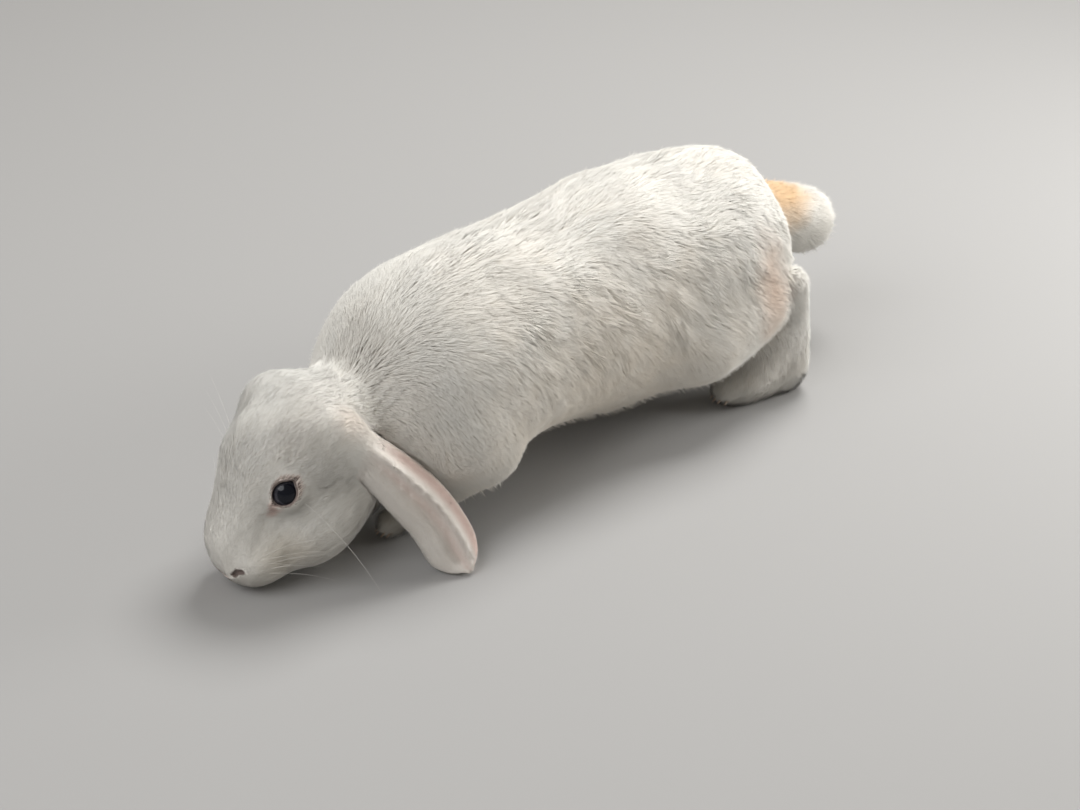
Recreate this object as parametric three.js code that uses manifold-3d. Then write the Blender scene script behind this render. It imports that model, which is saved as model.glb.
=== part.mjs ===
// A lop-eared rabbit at life size, standing with its nose to the floor and its rump raised.
// Millimetres, +Z up. The rabbit faces -X, so its left side is towards -Y.
// Every solid reaches out to the tips of the coat. Places below are measured from a point on the
// floor under the middle of the body, level with the nose. The last lines move the whole group so
// that its origin is the middle of the floor under its box.
import * as THREE from "three";
import { mergeVertices } from "three/addons/utils/BufferGeometryUtils.js";
import Module from "manifold-3d";

const wasm = await Module();
wasm.setup();

// ---- Driving sizes -----------------------------------------------------------------------------
const GAP = 0.3; // between two parts that meet
// How fine each part's surface is.
const CELL = { torso: 17, head: 7.15, tail: 9, thigh: 13.5, hindfoot: 9.0, foreleg: 10.5, forepaw: 5.5 };
// How far neighbouring shapes melt into each other.
const BLEND = { trunk: 26, haunch: 24, thigh: 14, limb: 10, forelimb: 8, nape: 16, skull: 12 };

const TRUNK = {
  chest: { at: [110, 0, 76], radii: [40, 40, 51] },
  ribs: { at: [158, 0, 79.5], radii: [80, 53, 57.5] },
  belly: { at: [247, 0, 76.5], radii: [84, 55, 65.5] },
  rump: { at: [319, 0, 79], radii: [57.5, 46.5, 57] },
  shoulder: { at: [114, 24, 64], radii: [34, 20, 42] },
};
const NECK = { from: [102, 0, 74], fromRadius: 38, to: [57, 1, 61], toRadius: 24 };

const HEAD = { nose: [-5, 9, 12], pitch: 52, turn: 14 };
// Places on the head: x back from the nose tip along the head, y to the right, z towards the crown.
const SKULL = {
  crown: { at: [70, 0, 4], radii: [30, 27, 28] },
  bridge: { from: [20, 0, 7], fromRadius: 15, to: [54, 0, 13], toRadius: 25 },
  jaw: { from: [29, 0, -24.5], fromRadius: 17, to: [60, 0, -26.5], toRadius: 18 },
  muzzle: { at: [14.7, 0, -0.7], radii: [19.8, 17.3, 18.3] },
  cheek: { at: [48, 14, -18.5], radii: [30, 19, 21.5] },
  earRoot: { at: [75, 21, 9], radii: [18, 14, 21] },
  lipPad: { at: [13, 9, -6.5], radii: [14.5, 10.5, 12.5] },
};
const EYE = { at: [47.7, 19, 11.3], radius: 8.3, around: 14, down: 8 };

// Each ear hangs from its root on the head along a curve: back, outwards and down.
const EAR = {
  root: [84, 28, 5.5],
  hang: [
    [0, 0, 0],
    [22, 13, -27],
    [40, 22, -53],
    [50, 31, -79],
  ],
  trail: { left: 1, right: 0.35 }, // the turned head lays the left ear further back
  faces: [-0.35, 0.9, 0.25], // the way its outer side looks
  halfWidth: 13.6,
  thick: 5.5,
  cup: 7, // how deep the strap is curled towards the cheek
  rootBreadth: 0.72, // of the full width
  fullWidthAt: 0.6, // of the length
  tipFrom: 0.84, // of the length, where the round tip starts
  tipBlunt: 0.14, // of the full width, at the very end
  rings: 12,
  across: 6,
};

const FORELEG = {
  shoulder: [104, 33, 62],
  shoulderRadius: 23,
  elbow: [124, 33, 42],
  elbowRadius: 17,
  wrist: [97, 16, 15],
  wristRadius: 10,
  toes: [82, 11, 7.3],
  toesRadius: 8.5,
};
const HINDLEG = {
  thigh: { at: [304.5, 34.5, 69], radii: [46, 23, 48], pitch: 12 },
  knee: [278, 44, 50],
  kneeRadius: 21,
  shin: [324, 48.5, 57],
  shinRadius: 12.5,
  hock: [345, 52, 67],
  hockRadius: 9.5,
  ankle: [349, 51, 22],
  ankleRadius: 11.5,
  ball: [348, 50, 9.5],
  toes: [311, 39, 9],
  toesRadius: 10.5,
  heelTop: [338, 49, 36],
  heelTopRadius: 13.5,
  instep: [320, 43, 13],
  instepRadius: 11.5,
};
const TAIL = { root: [370, 0, 86], rootRadius: 18, tip: [414.5, -3, 67.5], tipRadius: 20.5 };

// Where the animal is divided: by planes across it, and by rounded regions round the limbs and tail.
const NAPE = { at: [50, 0, 92], normal: [0.95, -0.05, 0.3] };
const COLLAR = { at: [84, 0, 90], normal: [1, 0, 0.12] };
const ANKLE = { at: [322, 0, 32], normal: [0.55, 0, -0.84] };
const WRIST = { at: [97, 0, 18], normal: [-0.5, 0, -0.86] };
const FORELEG_REGION = [
  { at: [108, 42, 34], radii: [40, 32, 46] },
  { at: [92, 15, 8], radii: [28, 17, 18] },
];
const HINDLEG_REGION = [
  { at: [306, 62, 66], radii: [60, 34, 64] },
  { at: [338, 50, 34], radii: [44, 19, 48] },
  { at: [328, 44, 8], radii: [34, 21, 20] },
];
const TAIL_REGION = [{ at: [412, -2, 68], radii: [42, 32, 36] }];

const FINISH = {
  coat: { color: 0xf2ede4, roughness: 0.9 },
  tail: { color: 0xdcbb96, roughness: 0.9 },
  ear: { color: 0xeedcd2, roughness: 0.8 },
  eye: { color: 0x141720, roughness: 0.08 },
};

// ---- Fields: each is a function of x, y and z, negative inside ----------------------------------
const vector = (place, side = 1) => new THREE.Vector3(place[0], side * place[1], place[2]);

/** The smaller of two distances, rounded off over k millimetres. */
function smoothMin(a, b, k) {
  const h = Math.max(k - Math.abs(a - b), 0) / k;
  return Math.min(a, b) - h * h * k * 0.25;
}

/** Fields melted together over about k millimetres. */
function melt(k, ...fields) {
  return (x, y, z) => {
    let d = fields[0](x, y, z);
    for (let i = 1; i < fields.length; i++) d = smoothMin(d, fields[i](x, y, z), k);
    return d;
  };
}

/** An ellipsoid, turned nose-down by pitch degrees. */
function egg({ at, radii: [rx, ry, rz], pitch = 0 }, side = 1) {
  const c = Math.cos(THREE.MathUtils.degToRad(pitch));
  const s = Math.sin(THREE.MathUtils.degToRad(pitch));
  return (x, y, z) => {
    const dx = x - at[0];
    const dz = z - at[2];
    const px = (dx * c + dz * s) / rx;
    const py = (y - side * at[1]) / ry;
    const pz = (dz * c - dx * s) / rz;
    const k0 = Math.hypot(px, py, pz);
    const k1 = Math.hypot(px / rx, py / ry, pz / rz);
    return k1 === 0 ? -Math.min(rx, ry, rz) : (k0 * (k0 - 1)) / k1;
  };
}

/** A limb with round ends, from one ball to another. */
function limb(from, fromRadius, to, toRadius, side = 1) {
  const a = vector(from, side);
  const ab = vector(to, side).sub(a);
  const length2 = ab.lengthSq();
  const rise = fromRadius - toRadius;
  const slant2 = length2 - rise * rise;
  return (x, y, z) => {
    const p = new THREE.Vector3(x, y, z).sub(a);
    const along = p.dot(ab);
    const over = along - length2;
    const across2 = p.multiplyScalar(length2).addScaledVector(ab, -along).lengthSq();
    const k = Math.sign(rise) * rise * rise * across2;
    if (Math.sign(over) * slant2 * over * over * length2 > k)
      return Math.sqrt(across2 + over * over * length2) / length2 - toRadius;
    if (Math.sign(along) * slant2 * along * along * length2 < k)
      return Math.sqrt(across2 + along * along * length2) / length2 - fromRadius;
    return (Math.sqrt((across2 * slant2) / length2) + along * rise) / length2 - fromRadius;
  };
}

/** The same field on both sides of the animal. */
const both = (field, ...rest) => [field(...rest, -1), field(...rest, 1)];

// ---- The animal's shape --------------------------------------------------------------------------
const headMatrix = new THREE.Matrix4()
  .makeTranslation(...HEAD.nose)
  .multiply(new THREE.Matrix4().makeRotationZ(THREE.MathUtils.degToRad(-HEAD.turn)))
  .multiply(new THREE.Matrix4().makeRotationY(THREE.MathUtils.degToRad(-HEAD.pitch)));
const onHead = (place, side) => vector(place, side).applyMatrix4(headMatrix);

function headField() {
  const { bridge, jaw } = SKULL;
  const inHead = melt(
    BLEND.skull,
    egg(SKULL.crown),
    limb(bridge.from, bridge.fromRadius, bridge.to, bridge.toRadius),
    limb(jaw.from, jaw.fromRadius, jaw.to, jaw.toRadius),
    egg(SKULL.muzzle),
    ...both(egg, SKULL.cheek),
    ...both(egg, SKULL.earRoot),
    ...both(egg, SKULL.lipPad),
  );
  const intoHead = headMatrix.clone().invert();
  const p = new THREE.Vector3();
  return (x, y, z) => {
    p.set(x, y, z).applyMatrix4(intoHead);
    return inHead(p.x, p.y, p.z);
  };
}

function trunkField() {
  const { chest, ribs, belly, rump, shoulder } = TRUNK;
  return melt(BLEND.trunk, egg(ribs), egg(belly), egg(rump), egg(chest), ...both(egg, shoulder));
}

function thighField(side) {
  const h = HINDLEG;
  return melt(BLEND.thigh, egg(h.thigh, side), limb(h.knee, h.kneeRadius, h.shin, h.shinRadius, side));
}

function hindfootField(side) {
  const h = HINDLEG;
  return melt(
    BLEND.limb,
    limb(h.hock, h.hockRadius, h.ankle, h.ankleRadius, side),
    limb(h.ball, h.ankleRadius, h.toes, h.toesRadius, side),
    limb(h.heelTop, h.heelTopRadius, h.instep, h.instepRadius, side),
  );
}

function upperArmField(side) {
  const f = FORELEG;
  return limb(f.shoulder, f.shoulderRadius, f.elbow, f.elbowRadius, side);
}

function forearmField(side) {
  const f = FORELEG;
  return melt(
    BLEND.forelimb,
    limb(f.elbow, f.elbowRadius, f.wrist, f.wristRadius, side),
    limb(f.wrist, f.wristRadius, f.toes, f.toesRadius, side),
  );
}

const trunk = trunkField();
const neck = limb(NECK.from, NECK.fromRadius, NECK.to, NECK.toRadius);
const tail = limb(TAIL.root, TAIL.rootRadius, TAIL.tip, TAIL.tipRadius);
const front = melt(BLEND.nape, melt(BLEND.haunch, trunk, neck), headField());
const torso = melt(BLEND.limb, melt(BLEND.haunch, front, ...both(thighField)), ...both(upperArmField), tail);
const whole = melt(BLEND.limb, torso, ...both(hindfootField), ...both(forearmField));

// ---- From a field to a closed surface ------------------------------------------------------------
const CORNERS = [0, 1, 2, 3, 4, 5, 6, 7].map((c) => [c & 1, (c >> 1) & 1, (c >> 2) & 1]);
const SETTLE_PASSES = 2;
const SLOPE_STEP = 0.2;

/** The field's values on a grid over a box, closed by the box's own walls. */
function sample(field, box, cell) {
  const size = box.getSize(new THREE.Vector3());
  const counts = size.toArray().map((length) => Math.ceil(length / cell) + 3);
  const strides = [1, counts[0], counts[0] * counts[1]];
  const low = box.min.clone().subScalar(cell);
  const placeOf = (index) => [
    index % counts[0],
    Math.floor(index / counts[0]) % counts[1],
    Math.floor(index / strides[2]),
  ];
  const values = new Float32Array(counts[0] * counts[1] * counts[2]);
  const centre = box.getCenter(new THREE.Vector3());
  for (let index = 0; index < values.length; index++) {
    const p = vector(placeOf(index)).multiplyScalar(cell).add(low);
    const past = [p.x - centre.x, p.y - centre.y, p.z - centre.z].map(Math.abs);
    const outside = Math.max(past[0] - size.x / 2, past[1] - size.y / 2, past[2] - size.z / 2);
    values[index] = Math.max(field(p.x, p.y, p.z), outside);
  }
  return { counts, strides, low, cell, values, placeOf };
}

/** The middle of the points where the surface crosses one cell's edges, or null. */
function crossing({ strides, low, cell, values }, index, place) {
  const sum = new THREE.Vector3();
  let count = 0;
  for (const corner of CORNERS)
    for (let axis = 0; axis < 3; axis++) {
      if (corner[axis]) continue;
      const from = index + corner[0] * strides[0] + corner[1] * strides[1] + corner[2] * strides[2];
      const here = values[from];
      const there = values[from + strides[axis]];
      if (here < 0 === there < 0) continue;
      const p = place.map((v, a) => v + corner[a]);
      p[axis] += here / (here - there);
      sum.add(vector(p));
      count++;
    }
  return count ? sum.multiplyScalar(cell / count).add(low) : null;
}

/** Moves a point onto the surface, by at most half a cell in each pass. */
function settle(field, p, cell) {
  const d = SLOPE_STEP;
  for (let pass = 0; pass < SETTLE_PASSES; pass++) {
    const slope = new THREE.Vector3(
      field(p.x + d, p.y, p.z) - field(p.x - d, p.y, p.z),
      field(p.x, p.y + d, p.z) - field(p.x, p.y - d, p.z),
      field(p.x, p.y, p.z + d) - field(p.x, p.y, p.z - d),
    ).divideScalar(2 * d);
    const move = -field(p.x, p.y, p.z) / Math.max(slope.lengthSq(), 0.1);
    p.addScaledVector(slope, THREE.MathUtils.clamp(move, -cell / 2, cell / 2));
  }
}

/** Surface nets: one point in each cell that the surface crosses, and a quad across each crossed edge. */
function surfaceOf(field, box, cell) {
  const grid = sample(field, box, cell);
  const { counts, strides, values, placeOf } = grid;
  const points = [];
  const pointIn = new Int32Array(values.length).fill(-1);
  const inner = (place, first) => place.every((v, axis) => v >= first && v < counts[axis] - 1);
  for (let index = 0; index < values.length; index++) {
    const place = placeOf(index);
    const p = inner(place, 0) && crossing(grid, index, place);
    if (!p) continue;
    if (box.containsPoint(p)) settle(field, p, cell);
    pointIn[index] = points.push(p) - 1;
  }
  const triangles = [];
  for (let index = 0; index < values.length; index++) {
    if (!inner(placeOf(index), 1)) continue;
    for (let axis = 0; axis < 3; axis++) {
      const inside = values[index] < 0;
      if (inside === values[index + strides[axis]] < 0) continue;
      const u = strides[(axis + 1) % 3];
      const v = strides[(axis + 2) % 3];
      const ring = [index, index - u, index - u - v, index - v].map((c) => pointIn[c]);
      if (!inside) ring.reverse();
      const [a, b, c, d] = ring;
      const acrossAC = points[a].distanceTo(points[c]) < points[b].distanceTo(points[d]);
      triangles.push(...(acrossAC ? [a, b, c, a, c, d] : [a, b, d, b, c, d]));
    }
  }
  return new THREE.BufferGeometry().setFromPoints(points).setIndex(triangles);
}

// ---- Solids to join and cut ------------------------------------------------------------------------
/** A closed geometry as a manifold-3d solid. */
function solid(geometry, matrix = new THREE.Matrix4()) {
  const bare = new THREE.BufferGeometry();
  bare.setAttribute("position", geometry.getAttribute("position").clone());
  bare.setIndex(geometry.index);
  const merged = mergeVertices(bare.applyMatrix4(matrix));
  return new wasm.Manifold(
    new wasm.Mesh({
      numProp: 3,
      vertProperties: new Float32Array(merged.attributes.position.array),
      triVerts: new Uint32Array(merged.index.array),
    }),
  );
}

/** A manifold-3d solid as a geometry. */
function geometryOf(made) {
  const { numVert, numProp, vertProperties, triVerts } = made.getMesh();
  const positions = new Float32Array(numVert * 3);
  for (let i = 0; i < numVert; i++)
    positions.set(vertProperties.subarray(i * numProp, i * numProp + 3), i * 3);
  const geometry = new THREE.BufferGeometry();
  geometry.setAttribute("position", new THREE.BufferAttribute(positions, 3));
  geometry.setIndex(new THREE.BufferAttribute(new Uint32Array(triVerts), 1));
  geometry.computeVertexNormals();
  return geometry;
}

const FAR = 2000; // past the end of the animal, whichever way a cut faces

/** Everything on the far side of a plane, set off from it by half the gap. */
function beyond(point, normal) {
  const turn = new THREE.Quaternion().setFromUnitVectors(new THREE.Vector3(0, 0, 1), normal);
  const centre = point.clone().addScaledVector(normal, FAR / 2 + GAP / 2);
  const place = new THREE.Matrix4().compose(centre, turn, new THREE.Vector3(1, 1, 1));
  return solid(new THREE.BoxGeometry(FAR, FAR, FAR), place);
}

const after = ({ at, normal }) => beyond(vector(at), vector(normal).normalize());
const before = ({ at, normal }) => beyond(vector(at), vector(normal).normalize().negate());
const aboveFloor = beyond(new THREE.Vector3(0, 0, -GAP / 2), new THREE.Vector3(0, 0, 1));

/** A rounded region made of ellipsoids, grown by extra. */
function region(balls, side = 1, extra = 0) {
  const made = balls.map(({ at, radii }) => {
    const scale = vector(radii).addScalar(extra);
    const place = new THREE.Matrix4().compose(vector(at, side), new THREE.Quaternion(), scale);
    return solid(new THREE.SphereGeometry(1, 16, 10), place);
  });
  return made.reduce((sum, ball) => sum.add(ball));
}

const inside = (made, ...cutters) => cutters.reduce((left, cutter) => left.intersect(cutter), made);
const without = (made, ...cutters) => cutters.reduce((left, cutter) => left.subtract(cutter), made);
const boxOf = (low, high) => new THREE.Box3(vector(low), vector(high));

// ---- The parts ---------------------------------------------------------------------------------------
/** A closed surface round a row of rings, each with the same number of points. */
function loft(rings) {
  const count = rings[0].length;
  const points = rings.flat();
  const triangles = [];
  for (let a = 0; a < points.length - count; a++) {
    const b = a % count === count - 1 ? a + 1 - count : a + 1;
    triangles.push(a, b, a + count, b, b + count, a + count);
  }
  for (const first of [0, points.length - count]) {
    const middle = new THREE.Vector3();
    rings[first / count].forEach((p) => middle.addScaledVector(p, 1 / count));
    const centre = points.push(middle) - 1;
    for (let k = 0; k < count; k++) {
      const a = first + k;
      const b = first + ((k + 1) % count);
      triangles.push(...(first ? [centre, a, b] : [centre, b, a]));
    }
  }
  return new THREE.BufferGeometry().setFromPoints(points).setIndex(triangles);
}

/** A curved strap with a round tip, curled along its length. */
function earGeometry(side) {
  const root = onHead(EAR.root, side);
  const trail = side < 0 ? EAR.trail.left : EAR.trail.right;
  const path = new THREE.CatmullRomCurve3(
    EAR.hang.map(([back, out, up]) => new THREE.Vector3(trail * back, side * out, up).add(root)),
  );
  const rings = [];
  for (let r = 0; r <= EAR.rings; r++) {
    const v = Math.sin((Math.PI / 2) * (r / EAR.rings)); // rings crowd towards the tip
    const centre = path.getPointAt(v);
    const along = path.getTangentAt(v);
    const width = new THREE.Vector3().crossVectors(vector(EAR.faces, side), along).setLength(side);
    const out = new THREE.Vector3().crossVectors(along, width).setLength(side);
    const broad = THREE.MathUtils.lerp(EAR.rootBreadth, 1, THREE.MathUtils.smoothstep(v, 0, EAR.fullWidthAt));
    const pastTip = Math.max((v - EAR.tipFrom) / (1 - EAR.tipFrom), 0);
    const tip = Math.sqrt(Math.max(1 - pastTip ** 3, EAR.tipBlunt ** 2));
    const ring = [];
    for (let k = 0; k < 2 * EAR.across; k++) {
      const angle = (Math.PI * k) / EAR.across;
      const u = -Math.cos(angle);
      const rise = -EAR.cup * u * u * tip + (EAR.thick / 2) * Math.sin(angle) * Math.max(tip, 0.4);
      const half = EAR.halfWidth * broad * tip;
      ring.push(centre.clone().addScaledVector(width, half * u).addScaledVector(out, rise));
    }
    rings.push(side < 0 ? ring : ring.reverse());
  }
  return loft(rings);
}

function eyeSolid(side, extra = 0) {
  const place = new THREE.Matrix4().setPosition(onHead(EYE.at, side));
  return solid(new THREE.SphereGeometry(EYE.radius + extra, EYE.around, EYE.down), place);
}

const HEAD_BOX = boxOf([-40, -60, -8], [90, 60, 130]);
const TORSO_BOX = boxOf([20, -90, -8], [400, 90, 170]);
const TAIL_BOX = boxOf([340, -60, 20], [470, 60, 140]);
const foreGaps = [-1, 1].map((side) => region(FORELEG_REGION, side, GAP));
const hindGaps = [-1, 1].map((side) => region(HINDLEG_REGION, side, GAP));

function headAndNeck() {
  const grown = (field, extra = GAP) => (x, y, z) => field(x, y, z) - extra;
  const sockets = [-1, 1].map((side) => eyeSolid(side, GAP));
  const skull = inside(solid(surfaceOf(front, HEAD_BOX, CELL.head)), before(NAPE), aboveFloor);
  const earGaps = [
    solid(surfaceOf(grown(front), HEAD_BOX, CELL.head)),
    solid(surfaceOf(grown(torso, 2 * GAP), TORSO_BOX, CELL.torso)),
  ];
  return {
    head: without(skull, ...sockets, ...foreGaps),
    eye_left: eyeSolid(-1),
    eye_right: eyeSolid(1),
    ear_left: without(solid(earGeometry(-1)), ...earGaps),
    ear_right: without(solid(earGeometry(1)), ...earGaps),
  };
}

function torsoParts() {
  const shell = solid(surfaceOf(torso, TORSO_BOX, CELL.torso));
  const trimmed = without(shell, ...foreGaps);
  return {
    neck: inside(trimmed, after(NAPE), before(COLLAR)),
    trunk: without(inside(trimmed, after(COLLAR)), ...hindGaps, region(TAIL_REGION, 1, GAP)),
    tail: inside(solid(surfaceOf(torso, TAIL_BOX, CELL.tail)), region(TAIL_REGION)),
  };
}

function legParts(name, side) {
  const half = ([x0, z0], [x1, z1]) =>
    side < 0 ? boxOf([x0, -90, z0], [x1, -1, z1]) : boxOf([x0, 1, z0], [x1, 90, z1]);
  const surface = (low, high, cell) => inside(solid(surfaceOf(whole, half(low, high), cell)), aboveFloor);
  const fore = region(FORELEG_REGION, side);
  const hind = region(HINDLEG_REGION, side);
  return {
    ["foreleg_" + name]: inside(surface([40, -8], [170, 110], CELL.foreleg), fore, before(WRIST)),
    ["forepaw_" + name]: inside(surface([40, -8], [140, 60], CELL.forepaw), fore, after(WRIST)),
    ["thigh_" + name]: inside(surface([220, -8], [390, 150], CELL.thigh), hind, before(ANKLE)),
    ["hindfoot_" + name]: inside(surface([281, -8], [390, 100], CELL.hindfoot), hind, after(ANKLE)),
  };
}

/** A named mesh that sits at the middle of its own shape. */
function placed(name, made) {
  const geometry = geometryOf(made);
  geometry.computeBoundingBox();
  const middle = geometry.boundingBox.getCenter(new THREE.Vector3());
  geometry.translate(-middle.x, -middle.y, -middle.z);
  const finish = FINISH[name.split("_")[0]] ?? FINISH.coat;
  const mesh = new THREE.Mesh(geometry, new THREE.MeshStandardMaterial(finish));
  mesh.name = name;
  mesh.position.copy(middle);
  return mesh;
}

const group = new THREE.Group();
for (const parts of [headAndNeck(), torsoParts(), legParts("left", -1), legParts("right", 1)]) {
  const section = new THREE.Group();
  for (const [name, made] of Object.entries(parts)) section.add(placed(name, made));
  group.add(section);
}
const bounds = new THREE.Box3().setFromObject(group);
const middle = bounds.getCenter(new THREE.Vector3());
group.position.set(-middle.x, -middle.y, -bounds.min.z);

export default group;
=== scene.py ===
"""A lop-eared rabbit at life size, bending to the floor: one skin under a coat of mesh tufts.

Shapes are worked out in millimetres from a point on the floor under the middle of the body, level
with the nose, with x towards the tail, y to the animal's right and z up. Finished meshes are in
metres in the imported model's frame.
"""

from __future__ import annotations

import logging
import math
from dataclasses import dataclass
from enum import Enum

import bpy
import numpy as np
from mathutils import Euler, Matrix, Vector, kdtree

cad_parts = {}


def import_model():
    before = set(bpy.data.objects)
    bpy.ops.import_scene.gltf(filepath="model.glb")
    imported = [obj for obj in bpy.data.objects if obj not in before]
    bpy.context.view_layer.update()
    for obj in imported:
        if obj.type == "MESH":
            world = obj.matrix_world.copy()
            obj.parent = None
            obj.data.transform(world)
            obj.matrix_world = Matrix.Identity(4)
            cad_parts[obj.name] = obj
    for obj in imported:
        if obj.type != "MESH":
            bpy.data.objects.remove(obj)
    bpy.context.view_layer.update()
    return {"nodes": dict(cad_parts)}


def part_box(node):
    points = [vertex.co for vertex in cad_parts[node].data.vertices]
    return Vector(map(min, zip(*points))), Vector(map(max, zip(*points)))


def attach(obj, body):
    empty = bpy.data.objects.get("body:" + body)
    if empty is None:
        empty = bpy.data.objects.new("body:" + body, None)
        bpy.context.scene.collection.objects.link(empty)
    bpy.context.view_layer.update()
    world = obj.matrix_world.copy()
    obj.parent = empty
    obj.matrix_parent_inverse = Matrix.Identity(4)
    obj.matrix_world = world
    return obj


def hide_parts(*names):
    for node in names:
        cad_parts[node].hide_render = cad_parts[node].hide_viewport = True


LOG = logging.getLogger("rabbit")
MM = 0.001
FAR = 99.0
Array = np.ndarray
Place = tuple[float, float, float]


# ---- Small tools ---------------------------------------------------------------------------------
def unit(vectors: Array) -> Array:
    """Scales vectors to length one."""
    length = np.linalg.norm(vectors, axis=-1, keepdims=True)
    return vectors / np.maximum(length, 1e-9)


def dot(a: Array, b: Array) -> Array:
    """The dot product of each pair of vectors, kept as a column."""
    return (a * b).sum(-1, keepdims=True)


def smooth_min(a: Array, b: Array, k: float | Array) -> Array:
    """The smaller of two distances, rounded off over k millimetres."""
    h = np.maximum(k - np.abs(a - b), 0) / k
    return np.minimum(a, b) - h * h * k * 0.25


def smooth_max(a: Array, b: Array, k: float) -> Array:
    """The larger of two distances, rounded off over k millimetres."""
    return -smooth_min(-a, -b, k)


def melt(k: float, *distances: Array) -> Array:
    """Distances melted together over about k millimetres."""
    total = distances[0]
    for other in distances[1:]:
        total = smooth_min(total, other, k)
    return total


def ramp(values: Array, low: float, high: float) -> Array:
    """Rises smoothly from 0 at low to 1 at high."""
    t = np.clip((values - low) / (high - low), 0, 1)
    return t * t * (3 - 2 * t)


def bell(values: Array, middle: float, spread: float) -> Array:
    """A smooth hump of height one round the middle value."""
    return np.exp(-(((values - middle) / spread) ** 2))


def to_right(q: Array) -> Array:
    """Points in the head's frame, all brought over to its right side."""
    return q * np.array([1, 0, 1]) + np.abs(q) * np.array([0, 1, 0])


def from_line(points: Array, line: Array) -> Array:
    """How far each point is from the nearest point of a line."""
    return np.linalg.norm(points[:, None, :] - line[None], axis=2).min(1)


def first_in_cells(points: Array, size: float) -> Array:
    """The first point in each small cube of space. Returns: their numbers, in order."""
    cell = np.floor(points / size).astype(np.int64) + 4096
    key = (cell[:, 0] << 40) + (cell[:, 1] << 20) + cell[:, 2]
    return np.sort(np.unique(key, return_index=True)[1])


def turn_about_z(degrees: float) -> Array:
    """A rotation matrix about the vertical axis."""
    c, s = math.cos(math.radians(degrees)), math.sin(math.radians(degrees))
    return np.array([[c, -s, 0], [s, c, 0], [0, 0, 1]])


def turn_about_y(degrees: float) -> Array:
    """A rotation matrix about the sideways axis."""
    c, s = math.cos(math.radians(degrees)), math.sin(math.radians(degrees))
    return np.array([[c, 0, s], [0, 1, 0], [-s, 0, c]])


class Ripple:
    """Smooth seeded noise made of a few crossed waves."""

    def __init__(self, seed: int, size: float, waves: int = 9) -> None:
        """Args: seed: the fixed seed. size: about the width of one swell. waves: how many cross."""
        rng = np.random.default_rng(seed)
        heading = unit(rng.normal(size=(waves, 3)))
        self.push = heading * (2 * math.pi / size) * rng.uniform(0.55, 1.7, (waves, 1))
        self.phase = rng.uniform(0, 2 * math.pi, waves)

    def __call__(self, points: Array) -> Array:
        """Returns: about -1 to 1 at each point."""
        return np.sin(points @ self.push.T + self.phase).mean(1) * 2.1


# ---- Shapes under the coat -----------------------------------------------------------------------
@dataclass(frozen=True)
class Egg:
    """An ellipsoid, turned nose-down by pitch degrees."""

    at: Place
    radii: Place
    pitch: float = 0.0

    def distance(self, points: Array, side: int = 1) -> Array:
        """Args: points: where to measure. side: -1 mirrors the egg to the left.

        Returns: the distance, negative inside.
        """
        c, s = math.cos(math.radians(self.pitch)), math.sin(math.radians(self.pitch))
        rx, ry, rz = self.radii
        dx = points[:, 0] - self.at[0]
        dz = points[:, 2] - self.at[2]
        px = (dx * c + dz * s) / rx
        py = (points[:, 1] - side * self.at[1]) / ry
        pz = (dz * c - dx * s) / rz
        k0 = np.sqrt(px * px + py * py + pz * pz)
        k1 = np.sqrt((px / rx) ** 2 + (py / ry) ** 2 + (pz / rz) ** 2)
        return k0 * (k0 - 1) / np.maximum(k1, 1e-6)


@dataclass(frozen=True)
class Limb:
    """A length with round ends, from one ball to another."""

    start: Place
    start_radius: float
    end: Place
    end_radius: float

    def distance(self, points: Array, side: int = 1) -> Array:
        """Args: points: where to measure. side: -1 mirrors the limb to the left.

        Returns: the distance, negative inside.
        """
        a = np.array([self.start[0], side * self.start[1], self.start[2]])
        ab = np.array([self.end[0], side * self.end[1], self.end[2]]) - a
        length2 = ab @ ab
        rise = self.start_radius - self.end_radius
        slant2 = length2 - rise * rise
        p = points - a
        along = p @ ab
        over = along - length2
        across2 = ((p * length2 - along[:, None] * ab) ** 2).sum(1)
        k = math.copysign(rise * rise, rise) * across2
        middle = (np.sqrt(across2 * slant2 / length2) + along * rise) / length2 - self.start_radius
        past = np.sign(over) * slant2 * over * over * length2 > k
        short = np.sign(along) * slant2 * along * along * length2 < k
        end = np.sqrt(across2 + over * over * length2) / length2 - self.end_radius
        begin = np.sqrt(across2 + along * along * length2) / length2 - self.start_radius
        return np.where(past, end, np.where(short, begin, middle))


class Side(Enum):
    """The two sides of the animal."""

    LEFT = -1
    RIGHT = 1

    def bring(self, places: Array | Place) -> Array:
        """Brings places on the right side over to this side."""
        return np.array(places) * np.array([1, self.value, 1])


class Zone(Enum):
    """Regions whose coats differ."""

    HEAD = "head"
    NECK = "neck"
    BODY = "body"
    TAIL = "tail"
    FORELEG = "foreleg"
    HINDLEG = "hindleg"
    EAR = "ear"


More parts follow.
